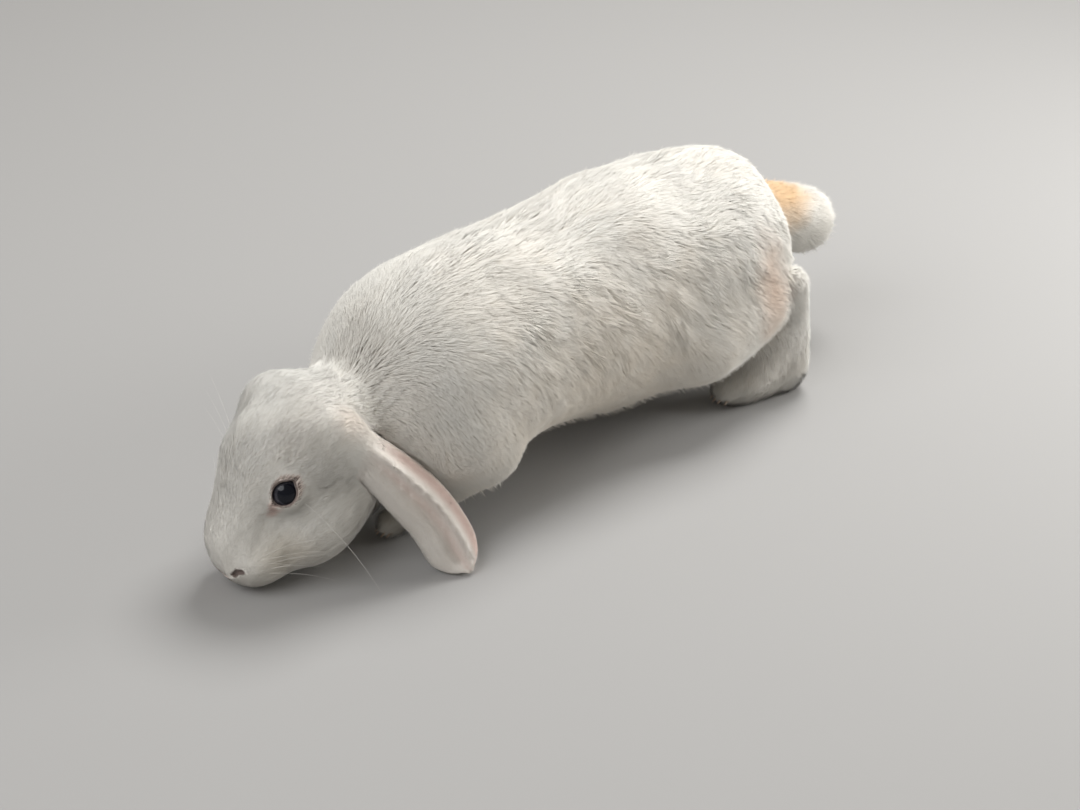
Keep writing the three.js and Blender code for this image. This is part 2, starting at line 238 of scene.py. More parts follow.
@dataclass(frozen=True)
class Eye:
    """Where an eye lies in the head and how it looks out, on the right side."""

    at: Place = (47.7, 19.0, 11.3)
    radius: float = 8.3
    looks: Place = (-0.115, 0.832, 0.543)
    pupil: float = 4.8
    iris: float = 6.5
    opening_long: float = 5.9
    opening_high: float = 5.1
    lid: float = 1.15
    glance: tuple[float, float] = (1.2, 1.5)

    def frame(self) -> Array:
        """Returns: rows: the way the lids open, towards the rear corner, and down across them."""
        out = unit(np.array(self.looks))
        back = np.array([1.0, 0, -0.12])
        back = unit(back - (back @ out) * out)
        return np.stack([out, back, np.cross(out, back)])

    def ball(self) -> Array:
        """Returns: the same rows for the eyeball, which looks a little down and to the rear."""
        out, back, down = self.frame()
        ahead = unit(out * self.radius + back * self.glance[0] + down * self.glance[1])
        side = unit(back - ahead * (back @ ahead))
        return np.stack([ahead, side, np.cross(ahead, side)])

    def ring(self, q: Array) -> tuple[Array, Array, Array, Array]:
        """Measures places round the lids.

        Args: q: points in the head's frame, on the right side.

        Returns: the place out from the middle in lid openings, which are drawn out to a point at
        both corners, and the places along the way the lids open, to the rear and down.
        """
        out, back, down = ((q - np.array(self.at)) @ self.frame().T).T
        flare = 1 + 0.06 * np.maximum(out - 6, 0)
        level = bell(down, -0.7, 1.7)
        corner = 1 + level * (0.24 * ramp(-back, 3.5, 7.5) + 0.2 * ramp(back, 3.5, 7.5))
        opening = np.hypot(back / self.opening_long, down / self.opening_high)
        return opening / (flare * corner), out, back, down


@dataclass(frozen=True)
class Fold:
    """A ridge along an ear's outer face, or a hollow if it rises below zero. It lies across half
    widths from the middle and sets in between two places along the ear.
    """

    rise: float
    across: float
    spread: float
    starts: float
    full: float


@dataclass(frozen=True)
class Ear:
    """A hanging ear: a strap on a curve, curled along its length."""

    root: Place = (84, 28, 5.5)
    hang: tuple[Place, ...] = ((0, 0, 0), (22, 13, -27), (40, 22, -53), (50, 31, -79))
    faces: Place = (-0.35, 0.9, 0.25)
    half_width: float = 13.6
    half_thick: float = 2.25
    least_thick: float = 2.0
    cup: float = 7.0
    root_breadth: float = 0.72
    full_width_at: float = 0.6
    tip_from: float = 0.84
    tip_blunt: float = 0.14
    samples: int = 72
    edge: float = 1.5
    folds: tuple[Fold, ...] = (
        Fold(2.5, -0.3, 0.19, 0.08, 0.3),  # the long ridge in the rear third
        Fold(1.0, 0.66, 0.28, 0.1, 0.3),  # the front margin
        Fold(-1.7, 0.1, 0.24, 0.12, 0.35),  # the shallow hollow between them
        Fold(-1.9, -0.74, 0.2, 0.15, 0.35),  # the fall behind the ridge
    )
    folds_fade: tuple[float, float] = (0.9, 0.97)
    tip_groove: float = -2.0
    tip_flare: float = 1.8


class EarStrap:
    """One ear's shape on the head."""

    REACH = 28

    def __init__(self, ear: Ear, side: Side, root: Array, trail: float) -> None:
        """Args: ear: the sizes. side: which ear. root: its root, on the head. trail: how far the
        ear is laid back, from 0 to 1.
        """
        self.ear = ear
        self.side = side.value
        hang = np.array(ear.hang) * np.array([trail, self.side, 1]) + root
        path = self._spline(hang)
        run = np.concatenate([[0], np.cumsum(np.linalg.norm(np.diff(path, axis=0), axis=1))])
        self.v = np.linspace(0, 1, ear.samples)
        self.line = np.stack([np.interp(self.v * run[-1], run, path[:, k]) for k in range(3)], 1)
        self.length = run[-1]
        self.along = unit(np.gradient(self.line, axis=0))
        faces = side.bring(ear.faces)
        self.width = unit(np.cross(faces, self.along)) * self.side
        self.out = unit(np.cross(self.along, self.width)) * self.side
        self.low = self.line.min(0) - self.REACH
        self.high = self.line.max(0) + self.REACH

    def near(self, points: Array) -> Array:
        """Which points are near enough to measure."""
        return np.all((points > self.low) & (points < self.high), axis=1)

    @staticmethod
    def _spline(knots: Array, steps: int = 60) -> Array:
        """A centripetal curve through the knots. Returns: points along it."""
        p = np.vstack([2 * knots[0] - knots[1], knots, 2 * knots[-1] - knots[-2]])
        gap = np.sqrt(np.linalg.norm(np.diff(p, axis=0), axis=1))
        found = [knots[:1]]
        t = (np.arange(1, steps + 1) / steps)[:, None]
        for i in range(1, len(p) - 2):
            d0, d1, d2 = gap[i - 1 : i + 2]
            x0, x1, x2, x3 = p[i - 1 : i + 3]
            m1 = ((x1 - x0) / d0 - (x2 - x0) / (d0 + d1) + (x2 - x1) / d1) * d1
            m2 = ((x2 - x1) / d1 - (x3 - x1) / (d1 + d2) + (x3 - x2) / d2) * d1
            cubic = 2 * x1 - 2 * x2 + m1 + m2
            square = -3 * x1 + 3 * x2 - 2 * m1 - m2
            found.append(x1 + m1 * t + square * t**2 + cubic * t**3)
        return np.vstack(found)

    def local(self, points: Array) -> tuple[Array, Array, Array, Array]:
        """Args: points: near the ear.

        Returns: the place along it (0 to 1), across it in half widths, out from its middle
        sheet in millimetres, and past its ends in millimetres.
        """
        step = points[:, None, :] - self.line[None, ::3, :]
        near = np.argmin((step**2).sum(2), axis=1) * 3
        nearest = near.astype(float)
        for _ in range(2):
            i = np.clip(np.round(nearest).astype(int), 0, len(self.v) - 1)
            shift = dot(points - self.line[i], self.along[i])[:, 0]
            nearest = np.clip(i + shift / self.length * (len(self.v) - 1), 0, len(self.v) - 1)
        i = np.minimum(nearest.astype(int), len(self.v) - 2)
        t = (nearest - i)[:, None]
        here = self.line[i] * (1 - t) + self.line[i + 1] * t
        along, width, out = (
            unit(table[i] * (1 - t) + table[i + 1] * t)
            for table in (self.along, self.width, self.out)
        )
        v = nearest / (len(self.v) - 1)
        rel = points - here
        half = self.half(v)
        u = dot(rel, width)[:, 0] / half
        return v, u, dot(rel, out)[:, 0], np.abs(dot(rel, along)[:, 0])

    def tip(self, v: Array) -> Array:
        """How much of its width the ear keeps at each place along it."""
        e = self.ear
        past = np.maximum((v - e.tip_from) / (1 - e.tip_from), 0)
        return np.sqrt(np.maximum(1 - past**3, e.tip_blunt**2))

    def half(self, v: Array) -> Array:
        """The half width at each place along the ear."""
        e = self.ear
        broad = e.root_breadth + (1 - e.root_breadth) * ramp(v, 0, e.full_width_at)
        return e.half_width * broad * self.tip(v)

    def relief(self, v: Array, u: Array) -> Array:
        """How far the outer face stands out from the plain curled strap, in millimetres."""
        e = self.ear
        folds = sum(
            f.rise * bell(u, f.across, f.spread) * ramp(v, f.starts, f.full) for f in e.folds
        )
        groove = e.tip_groove * bell(u, 0.05, 0.2) * bell(v, 0.86, 0.08)
        flare = e.tip_flare * bell(v, 0.985, 0.045)
        return folds * (1 - 0.85 * ramp(v, *e.folds_fade)) + groove + flare

    def distance(self, points: Array) -> Array:
        """Returns: the distance to the ear's skin, FAR where it is nowhere near."""
        found = np.full(len(points), FAR)
        near = self.near(points)
        if not near.any():
            return found
        v, u, rise, past = self.local(points[near])
        e = self.ear
        half = self.half(v)
        bounded = np.clip(u, -1.1, 1.1)
        relief = self.relief(v, bounded)
        thick = np.maximum(e.half_thick * (1.15 - 0.35 * bounded**2) + 0.5 * relief, e.least_thick)
        middle = 0.5 * relief - e.cup * bounded**2 * self.tip(v)
        slope = 1 / np.sqrt(1 + (2 * e.cup * bounded / np.maximum(half, 4)) ** 2)
        across = np.abs(u) * half - (half - e.edge)
        over = (np.abs(rise - middle) - (thick - e.edge)) * slope
        outside = np.sqrt(np.maximum(across, 0) ** 2 + np.maximum(over, 0) ** 2 + past**2)
        found[near] = outside + np.minimum(np.maximum(across, over), 0) - e.edge
        return found


@dataclass(frozen=True)
class Crease:
    """A groove pressed into the face along a line of points on the head."""

    points: tuple[Place, ...]
    radius: float
    blend: float


@dataclass(frozen=True)
class Dent:
    """A soft hollow in the face along a straight line, or a swelling if it sinks below zero."""

    start: Place
    end: Place
    radius: float
    sink: float

    def away(self, q: Array) -> Array:
        """Returns: how far points in the head's frame are from the line."""
        a, b = np.array(self.start), np.array(self.end)
        share = np.clip(((q - a) @ (b - a)) / ((b - a) @ (b - a)), 0, 1)
        return np.linalg.norm(q - a - share[:, None] * (b - a), axis=1)


@dataclass
class Anatomy:
    """The animal's form, out to the tips of the coat and down to the skin."""

    nose: Place = (-5.0, 9.0, 12.0)
    head_pitch: float = 52.0
    head_turn: float = 14.0
    crown: Egg = Egg((70, 0, 4), (30, 27, 28))
    bridge: Limb = Limb((20, 0, 7), 15, (54, 0, 13), 25)
    jaw: Limb = Limb((29, 0, -24.5), 17, (60, 0, -26.5), 18)
    muzzle: Egg = Egg((14.7, 0, -0.7), (19.8, 17.3, 18.3))
    cheek: Egg = Egg((48, 14, -18.5), (30, 19, 21.5))
    ear_root: Egg = Egg((75, 21, 9), (18, 14, 21))
    lip_pad: Egg = Egg((13, 9, -6.5), (14.5, 10.5, 12.5))
    ribs: Egg = Egg((158, 0, 79.5), (80, 53, 57.5))
    belly: Egg = Egg((247, 0, 76.5), (84, 55, 65.5))
    rump: Egg = Egg((319, 0, 79), (57.5, 46.5, 57))
    chest: Egg = Egg((110, 0, 76), (40, 40, 51))
    shoulder: Egg = Egg((114, 24, 64), (34, 20, 42))
    neck: Limb = Limb((102, 0, 74), 38, (57, 1, 61), 24)
    tail: Limb = Limb((370, 0, 86), 18, (414.5, -3, 67.5), 20.5)
    thigh: Egg = Egg((304.5, 34.5, 69), (46, 23, 48), 12)
    shank: Limb = Limb((278, 44, 50), 21, (324, 48.5, 57), 12.5)
    hock: Limb = Limb((345, 52, 67), 9.5, (349, 51, 22), 11.5)
    hindfoot: Limb = Limb((348, 50, 9.5), 11.5, (311, 39, 9), 10.5)
    instep: Limb = Limb((338, 49, 36), 13.5, (320, 43, 13), 11.5)
    upper_arm: Limb = Limb((104, 33, 62), 23, (124, 33, 42), 17)
    forearm: Limb = Limb((124, 33, 42), 17, (97, 16, 15), 10)
    forepaw: Limb = Limb((97, 16, 15), 10, (82, 11, 7.3), 8.5)
    eye: Eye = Eye()
    ear: Ear = Ear()
    trail_left: float = 1.0
    trail_right: float = 0.35
    zone_softness: float = 6.0
    sole: float = 0.5
    head_melt: float = 12
    trunk_melt: float = 26
    knee_melt: float = 14
    hip_melt: float = 24
    arm_melt: float = 10
    hindleg_melt: float = 10
    foreleg_melt: float = 8
    neck_melt: float = 24
    nape_melt: float = 16
    leg_melt: float = 6
    ear_melt: tuple[float, float, float] = (1.4, 6.0, 17)  # along it, more at its root, how far
    face_depth: float = 0.5
    brow_depth: float = 1.1
    cheek_depth: float = 0.7
    bare_depth: float = 0.45
    nostril: float = 0.85
    lid_fold: float = 0.15
    head_ruffle: float = 0.42
    limb_ruffle: float = 0.4
    lock_height: float = 1.1
    fold_height: float = 1.3
    dents: tuple[Dent, ...] = (
        Dent((2, 14.5, 9), (15, 16.5, 13), 4.2, 1.2),  # beside the bridge of the nose
        Dent((31, 20, 10.5), (13, 19.5, 6.0), 3.4, 1.1),  # the furrow from the tear corner
        Dent((8, 18.5, 0), (14, 19.5, -3), 5.5, -1.2),  # the pad that holds the whiskers
        Dent((42, 14.5, 26), (16, 10.5, 17), 4.5, -0.7),  # the edge of the bridge
        Dent((18, 21, -8), (16, 17, -15), 4.0, 0.7),  # behind the pad, above the mouth
        Dent((30, 24, -6), (38, 26, -14), 10.0, -0.9),  # the full of the cheek
        Dent((30, 3, 26), (52, 8, 33), 9.0, 0.7),  # the shallow dip of the brow
        Dent((58, 22, 27), (64, 24, 22), 7.0, 0.8),  # behind the brow
    )

    def __post_init__(self) -> None:
        """Works out the head's frame, the ears and the lines on the face."""
        self.turn = turn_about_z(-self.head_turn) @ turn_about_y(-self.head_pitch)
        left, right = (self.from_head(side.bring(self.ear.root)[None])[0] for side in Side)
        self.ears = (
            EarStrap(self.ear, Side.LEFT, left, self.trail_left),
            EarStrap(self.ear, Side.RIGHT, right, self.trail_right),
        )
        self.depths = {
            Zone.NECK: 2.6,
            Zone.BODY: 3.2,
            Zone.TAIL: 5.0,
            Zone.FORELEG: 2.2,
            Zone.HINDLEG: 2.4,
            Zone.EAR: 0.6,
        }
        self.strands = Ripple(71, 13.5, 16)
        self.folds = Ripple(72, 60.0, 8)
        self.ruffle = Ripple(74, 8.0, 14)
        self.wander = Ripple(73, 40.0, 8)
        self.creases = self._face_lines()

    # Frames
    def to_head(self, points: Array) -> Array:
        """Body points in the head's own frame: x back from the nose, z towards the crown."""
        return (points - np.array(self.nose)) @ self.turn

    def from_head(self, points: Array) -> Array:
        """Head points in the body's frame."""
        return points @ self.turn.T + np.array(self.nose)

    # Coat surface
    def _head(self, q: Array) -> Array:
        """The head's coat, from points in the head's frame."""
        paired = (self.cheek, self.ear_root, self.lip_pad)
        pairs = [shape.distance(q, s) for shape in paired for s in (-1, 1)]
        middle = [e.distance(q) for e in (self.crown, self.bridge, self.jaw, self.muzzle)]
        return melt(self.head_melt, *middle, *pairs)

    def zones(self, points: Array) -> dict[Zone, Array]:
        """Returns: the distance to each region's coat."""

        def both(k: float, *shapes: Egg | Limb) -> list[Array]:
            """The distances to the left and the right of a group of shapes, melted over k."""
            return [melt(k, *(shape.distance(points, s) for shape in shapes)) for s in (-1, 1)]

        trunk = melt(
            self.trunk_melt,
            *(e.distance(points) for e in (self.ribs, self.belly, self.rump, self.chest)),
            *both(1, self.shoulder),
        )
        thighs = both(self.knee_melt, self.thigh, self.shank)
        arms = both(1, self.upper_arm)
        legs = both(self.hindleg_melt, self.hock, self.hindfoot, self.instep)
        fore = both(self.foreleg_melt, self.forearm, self.forepaw)
        ears = [ear.distance(points) for ear in self.ears]
        return {
            Zone.HEAD: self._head(self.to_head(points)),
            Zone.NECK: self.neck.distance(points),
            Zone.BODY: melt(self.arm_melt, melt(self.hip_melt, trunk, *thighs), *arms),
            Zone.TAIL: self.tail.distance(points),
            Zone.FORELEG: np.minimum(*fore),
            Zone.HINDLEG: np.minimum(*legs),
            Zone.EAR: np.minimum(*ears),
        }

    def coat(self, zones: dict[Zone, Array]) -> Array:
        """The surface that the coat's tips reach, ears apart."""
        body = melt(self.neck_melt, zones[Zone.BODY], zones[Zone.NECK])
        body = melt(self.nape_melt, body, zones[Zone.HEAD])
        return melt(self.leg_melt, body, zones[Zone.TAIL], zones[Zone.HINDLEG], zones[Zone.FORELEG])

    def weights(self, zones: dict[Zone, Array]) -> dict[Zone, Array]:
        """How much each region has a say at each point, adding up to one."""
        least = np.min(list(zones.values()), axis=0)
        raw = {zone: np.exp(-(d - least) / self.zone_softness) for zone, d in zones.items()}
        total = sum(raw.values())
        return {zone: w / total for zone, w in raw.items()}

    def depth(self, points: Array, weights: dict[Zone, Array]) -> Array:
        """How deep the coat is at each point."""
        deep = sum(weights[zone] * depth for zone, depth in self.depths.items())
        q = self.to_head(points)
        fine = self.face_depth + self.brow_depth * ramp(q[:, 0], 10, 60)
        cheek = self.cheek_depth * ramp(q[:, 0], 40, 75) * ramp(-q[:, 2], 2, 22)
        round_eye = np.linalg.norm(to_right(q) - np.array(self.eye.at), axis=1)
        on_head = fine + cheek - self.bare_depth
        on_head = self.bare_depth + on_head * ramp(round_eye, 9.5, 17)
        under = 1 - 0.35 * ramp(-points[:, 2], -25, -6) * weights[Zone.BODY]
        return (deep + weights[Zone.HEAD] * on_head) * under

    def parting(self, points: Array) -> Array:
        """How strongly the coat parts into locks: most on the upper flank and the rump."""
        x, _, z = points.T
        return 0.12 + 0.88 * ramp(x, 85, 150) * ramp(z, 45, 88) * (1 - 0.55 * ramp(z, 124, 140))

    def locks(self, points: Array) -> Array:
        """Long soft locks of the trunk's coat, drawn out along its lie, and the folds below them.

        Returns: how far the coat stands out, in millimetres.
        """
        x, y, z = points.T
        bend = 5.0 * self.wander(points)
        flank = np.stack([(x * 0.66 - z * 0.75) / 3.4, x * 0.75 + z * 0.66 + bend, y / 3], 1)
        back = np.stack([x / 3.4, y + bend, z / 3], 1)
        steep = ramp(np.abs(y), 14, 40)
        wave = self.strands(flank) * steep + self.strands(back) * (1 - steep)
        lock = 1.9 * np.sqrt(wave**2 + 0.012) - 0.75
        relief = self.lock_height * lock + self.fold_height * self.folds(points)
        return self.parting(points) * relief

    # Skin
    def _face_lines(self) -> list[tuple[Array, Crease]]:
        """The nostrils, the split lip and the mouth, settled on the muzzle.

        Returns: each line's points in the head's frame, with its crease.
        """
        plans = (
            Crease(((1.0, 11.4, 3.8), (2.2, 13.6, 4.9), (3.6, 15.4, 4.0)), self.nostril, 1.1),
            Crease(((0, 0.0, 1.2), (0, 5.0, 1.9), (1.0, 11.4, 3.8)), 0.3, 0.8),
            Crease(((0, 0, 1.6), (0, 0, -4), (1, 0, -9), (3, 0, -13.5)), 0.5, 1.6),
            Crease(((3, 0, -13.5), (5, 4, -14.5), (9, 9, -14.2), (15, 13.5, -15)), 0.45, 1.4),
        )
        found = []
        for plan in plans:
            points = np.array(plan.points, float)
            steps = np.linspace(0, len(points) - 1, 4 * len(points))
            number = range(len(points))
            dense = np.stack([np.interp(steps, number, points[:, k]) for k in range(3)], 1)
            for _ in range(6):
                level = self._head(dense) + 1.0
                dense[:, 0] += np.clip(level * 0.8, -4, 4)
            found.append((dense, plan))
        return found

    def _face(self, q: Array, skin: Array) -> Array:
        """Lids, nostrils and lips.

        Args: q: points in the head's frame. skin: the plain skin's distance there.

        Returns: the distance with the face's features.
        """
        q = to_right(q)
        eye = self.eye
        ring, out, _, _ = eye.ring(q)
        reach = np.linalg.norm(q - np.array(eye.at), axis=1)
        skin = smooth_min(skin, reach - eye.radius - eye.lid, 3.2)
        opening = (ring - 1) * eye.opening_high
        pit = smooth_max(opening, 2.0 - out, 1.0)
        skin = smooth_max(skin, -pit, 0.9)
        fold = bell(ring, 1.5, 0.16) * bell(reach - eye.radius, 1, 2.5)
        skin = skin + self.lid_fold * fold
        for dent in self.dents:
            skin = skin + dent.sink * bell(dent.away(q), 0, dent.radius)
        tufted = ramp(reach, 12, 22) * (0.35 + 0.65 * ramp(q[:, 0], 18, 50))
        skin = skin - self.head_ruffle * tufted * self.ruffle(q * np.array([0.45, 1, 1]))
        for line, crease in self.creases:
            near = np.linalg.norm(q - line.mean(0), axis=1) < 18
            if near.any():
                away = from_line(q[near], line)
                skin[near] = smooth_max(skin[near], crease.radius - away, crease.blend)
        return skin

    def skin(self, points: Array) -> Array:
        """The distance to the skin, negative inside."""
        zones = self.zones(points)
        weights = self.weights(zones)
        found = self.coat(zones) + self.depth(points, weights)
        trunk = weights[Zone.BODY] > 0.3
        if trunk.any():
            found[trunk] -= (weights[Zone.BODY][trunk] - 0.3) / 0.7 * self.locks(points[trunk])
        legs = weights[Zone.HINDLEG] + weights[Zone.FORELEG] + weights[Zone.TAIL]
        found -= self.limb_ruffle * legs * self.ruffle(points * np.array([1, 1, 0.5]))
        near = zones[Zone.HEAD] < 20
        if near.any():
            found[near] = self._face(self.to_head(points[near]), found[near])
        rooted = np.min([np.linalg.norm(points - ear.line[0], axis=1) for ear in self.ears], axis=0)
        thin, more, reach = self.ear_melt
        found = smooth_min(found, zones[Zone.EAR], thin + more * bell(rooted, 0, reach))
        return smooth_max(found, self.sole - points[:, 2], 0.8)

    def slope(self, points: Array, step: float = 0.25) -> tuple[Array, Array]:
        """Returns: the distance to the skin at each point and the way it grows."""
        corners = np.array([[1, -1, -1], [-1, -1, 1], [-1, 1, -1], [1, 1, 1]], float)
        samples = [self.skin(points + step * c) for c in corners]
        grown = sum(c * s[:, None] for c, s in zip(corners, samples)) / (4 * step)
        return sum(samples) / 4, grown

    def settle(self, points: Array, height: Array | float = 0.0, passes: int = 3) -> Array:
        """Moves points to a height above the skin. Returns: the moved points."""
        for _ in range(passes):
            level, grown = self.slope(points)
            size2 = np.maximum((grown**2).sum(1), 0.15)
            move = np.clip((height - level) / size2, -2.5, 2.5)
            points = points + grown * move[:, None]
        return points


# ---- Meshes --------------------------------------------------------------------------------------
def net(values: Array, low: Array, cell: float) -> tuple[Array, Array]:
    """Wraps a surface round the negative part of a grid of distances.

    Args: values: distances on a regular grid. low: the grid's lowest corner. cell: its spacing.

    Returns: the points, and triangles that face outwards.
    """
    inside = values < 0
    sizes = np.array(values.shape) - 1
    corners = [(i, j, k) for i in (0, 1) for j in (0, 1) for k in (0, 1)]

    def shifted(table: Array, corner: tuple[int, int, int]) -> Array:
        """The table as seen from one corner of every cell."""
        i, j, k = corner
        return table[i : i + sizes[0], j : j + sizes[1], k : k + sizes[2]]

    full = sum(shifted(inside, c).astype(np.int8) for c in corners)
    cells = np.argwhere((full > 0) & (full < 8))
    total = np.zeros((len(cells), 3))
    count = np.zeros(len(cells))
    for corner in corners:
        for axis in range(3):
            if corner[axis]:
                continue
            step = np.zeros(3, int)
            step[axis] = 1
            a = cells + corner
            b = a + step
            here, there = values[tuple(a.T)], values[tuple(b.T)]
            crossed = (here < 0) != (there < 0)
            share = np.where(crossed, here / np.where(crossed, here - there, 1), 0)
            total += np.where(crossed[:, None], a + step * share[:, None], 0)
            count += crossed
    points = low + cell * total / count[:, None]
    index = np.full(sizes, -1, np.int64)
    index[tuple(cells.T)] = np.arange(len(cells))
    quads = []
    for axis in range(3):
        u, v = (axis + 1) % 3, (axis + 2) % 3
        step = np.eye(3, dtype=int)
        first = [slice(1, n) for n in sizes]
        first[axis] = slice(0, sizes[axis])
        here = inside[tuple(first)]
        ahead = list(first)
        ahead[axis] = slice(1, sizes[axis] + 1)
        crossed = np.argwhere(here != inside[tuple(ahead)])
        start = np.ones(3, int)
        start[axis] = 0
        at = crossed + start
        ring = [at, at - step[u], at - step[u] - step[v], at - step[v]]
        quad = np.stack([index[tuple(c.T)] for c in ring], 1)
        outward = inside[tuple(at.T)]
        quads.append(np.where(outward[:, None], quad, quad[:, ::-1]))
    quad = np.vstack(quads)
    ac = np.linalg.norm(points[quad[:, 0]] - points[quad[:, 2]], axis=1)
    bd = np.linalg.norm(points[quad[:, 1]] - points[quad[:, 3]], axis=1)
    first = np.where((ac < bd)[:, None], quad[:, [0, 1, 2]], quad[:, [0, 1, 3]])
    second = np.where((ac < bd)[:, None], quad[:, [0, 2, 3]], quad[:, [1, 2, 3]])
    return points, np.vstack([first, second])


def refine(points: Array, faces: Array, marked: Array) -> tuple[Array, Array]:
    """Splits marked triangles in four, and their neighbours to match.

    Returns: the new points and triangles.
    """
    count = len(points)
    ends = np.sort(faces[:, [[0, 1], [1, 2], [2, 0]]], axis=2)
    key = ends[..., 0] * count + ends[..., 1]
    wanted = np.unique(key[marked])
    middles = (points[wanted // count] + points[wanted % count]) / 2
    split = np.isin(key, wanted)
    middle = count + np.searchsorted(wanted, key)
    number = split.sum(1)
    done = [faces[number == 0]]
    for amount, lead in ((1, lambda s: s), (2, lambda s: ~s), (3, None)):
        f, m, s = faces[number == amount], middle[number == amount], split[number == amount]
        if not len(f):
            continue
        if lead is not None:
            turn = (np.argmax(lead(s), axis=1)[:, None] + np.arange(3)) % 3
            f, m = np.take_along_axis(f, turn, 1), np.take_along_axis(m, turn, 1)
        a, b, c = f.T
        ab, bc, ca = m.T
        if amount == 1:
            made = [(a, ab, c), (ab, b, c)]
        elif amount == 2:  # only a-b is whole
            made = [(a, b, bc), (a, bc, ca), (ca, bc, c)]
        else:
            made = [(a, ab, ca), (ab, b, bc), (ca, bc, c), (ab, bc, ca)]
        done += [np.stack(t, 1) for t in made]
    return np.vstack([points, middles]), np.vstack(done)


def outward(points: Array, faces: Array) -> Array:
    """Turns every face round if the closed surface is inside out. Returns: the faces."""
    a, b, c = (points[faces[:, k]] for k in range(3))
    volume = (np.cross(a, b) * c).sum()
    return faces if volume > 0 else faces[:, ::-1]


def linked(name: str, data: bpy.types.ID) -> bpy.types.Object:
    """Puts an object that shows the data in the scene. Returns: the object."""
    obj = bpy.data.objects.new(name, data)
    bpy.context.scene.collection.objects.link(obj)
    return obj


@dataclass
class Bench:
    """Makes finished objects out of millimetre meshes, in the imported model's frame."""

    shift: Array

    def piece(
        self,
        name: str,
        points: Array,
        faces: Array,
        material: bpy.types.Material,
        slot: str,
        values: dict[str, Array] | None = None,
        uv: Array | None = None,
        normals: Array | None = None,
    ) -> bpy.types.Object:
        """Makes one piece that rides on the animal's body.

        Args: name: the piece's name. points, faces: its closed mesh, in millimetres. material: its
        finish. slot: not used. values: point attributes. uv: a place for each corner.
        normals: a normal for each point.

        Returns: the object.
        """
        mesh = bpy.data.meshes.new(name)
        mesh.vertices.add(len(points))
        mesh.vertices.foreach_set("co", ((points + self.shift) * MM).ravel())
        mesh.loops.add(faces.size)
        mesh.loops.foreach_set("vertex_index", faces.ravel())
        mesh.polygons.add(len(faces))
        mesh.polygons.foreach_set("loop_start", np.arange(len(faces)) * faces.shape[1])
        mesh.update(calc_edges=True)
        mesh.shade_smooth()
        for key, value in (values or {}).items():
            layer = mesh.attributes.new(key, "FLOAT", "POINT")
            layer.data.foreach_set("value", value.astype(np.float32))
        if uv is not None:
            layer = mesh.uv_layers.new(name="OFBake")
            layer.data.foreach_set("uv", uv.astype(np.float32).ravel())
        if normals is not None:
            mesh.normals_split_custom_set_from_vertices(normals.astype(np.float32))
        mesh.materials.append(material)
        return self.place(linked(name, mesh), slot)

    @staticmethod
    def place(obj: bpy.types.Object, slot: str) -> bpy.types.Object:
        """Lets a finished object ride on the body. Returns: the object."""
        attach(obj, "root")
        obj.data.calc_loop_triangles()
        LOG.info("%s: %d triangles", obj.name, len(obj.data.loop_triangles))
        return obj


# ---- Finishes ------------------------------------------------------------------------------------
Rgb = tuple[float, float, float]
Socket = bpy.types.NodeSocket


class Tree:
    """A short way to wire shader nodes."""

    def __init__(self, tree: bpy.types.NodeTree) -> None:
        """Args: tree: the node tree to fill."""
        self.tree = tree

    def node(self, kind: str, inputs: dict | None = None, **settings: object) -> bpy.types.Node:
        """Adds a node.

        Args: kind: the node's type. inputs: a value or an output for each socket, by name or
        number. settings: the node's own settings.

        Returns: the node.
        """
        made = self.tree.nodes.new(kind)
        for key, value in settings.items():
            setattr(made, key, value)
        self.feed(made, inputs or {})
        return made

    def feed(self, node: bpy.types.Node, inputs: dict) -> None:
        """Gives a node's sockets, by name or number, a value or an output each."""
        for key, value in inputs.items():
            if isinstance(value, Socket):
                self.tree.links.new(value, node.inputs[key])
            else:
                node.inputs[key].default_value = value

    def math(self, operation: str, *values: object) -> Socket:
        """A sum on numbers. Returns: its result."""
        return self.node("ShaderNodeMath", dict(enumerate(values)), operation=operation).outputs[0]

    def vector(self, operation: str, *values: object) -> Socket:
        """A sum on vectors. Returns: its result, the length or dot product where that is asked."""
        made = self.node("ShaderNodeVectorMath", dict(enumerate(values)), operation=operation)
        return made.outputs["Value" if operation in ("LENGTH", "DOT_PRODUCT") else "Vector"]

    def mix(self, share: object, first: object, second: object, blend: str = "MIX") -> Socket:
        """Mixes two colours. Returns: the mixture."""
        given = zip((0, 6, 7), (share, first, second))
        inputs = {key: (*x, 1.0) if isinstance(x, tuple) else x for key, x in given}
        return self.node("ShaderNodeMix", inputs, data_type="RGBA", blend_type=blend).outputs[2]

    def between(
        self, value: object, low: float, high: float, to_low: float = 0.0, to_high: float = 1.0
    ) -> Socket:
        """Maps a number smoothly from one range to another. Returns: the mapped number."""
        inputs = {0: value, 1: low, 2: high, 3: to_low, 4: to_high}
        made = self.node("ShaderNodeMapRange", inputs, interpolation_type="SMOOTHSTEP")
        return made.outputs[0]

    def attribute(self, name: str) -> Socket:
        """Reads a number kept on the mesh. Returns: the number."""
        return self.node("ShaderNodeAttribute", attribute_name=name).outputs["Fac"]

    def noise(self, where: object, scale: float, detail: float = 2.0) -> Socket:
        """Noise at a scale in cycles per metre. Returns: its value."""
        inputs = {"Vector": where, "Scale": scale, "Detail": detail}
        return self.node("ShaderNodeTexNoise", inputs).outputs[0]


def new_material(name: str) -> tuple[bpy.types.Material, Tree, bpy.types.Node]:
    """Returns: a new material, its tree and its shader."""
    made = bpy.data.materials.new(name)
    made.use_nodes = True
    return made, Tree(made.node_tree), made.node_tree.nodes["Principled BSDF"]


@dataclass(frozen=True)
class Patch:
    """A patch of colour on the animal: an ellipsoid with a soft edge."""

    at: Place
    radii: Place
    color: Rgb
    strength: float
    soft: float = 0.45


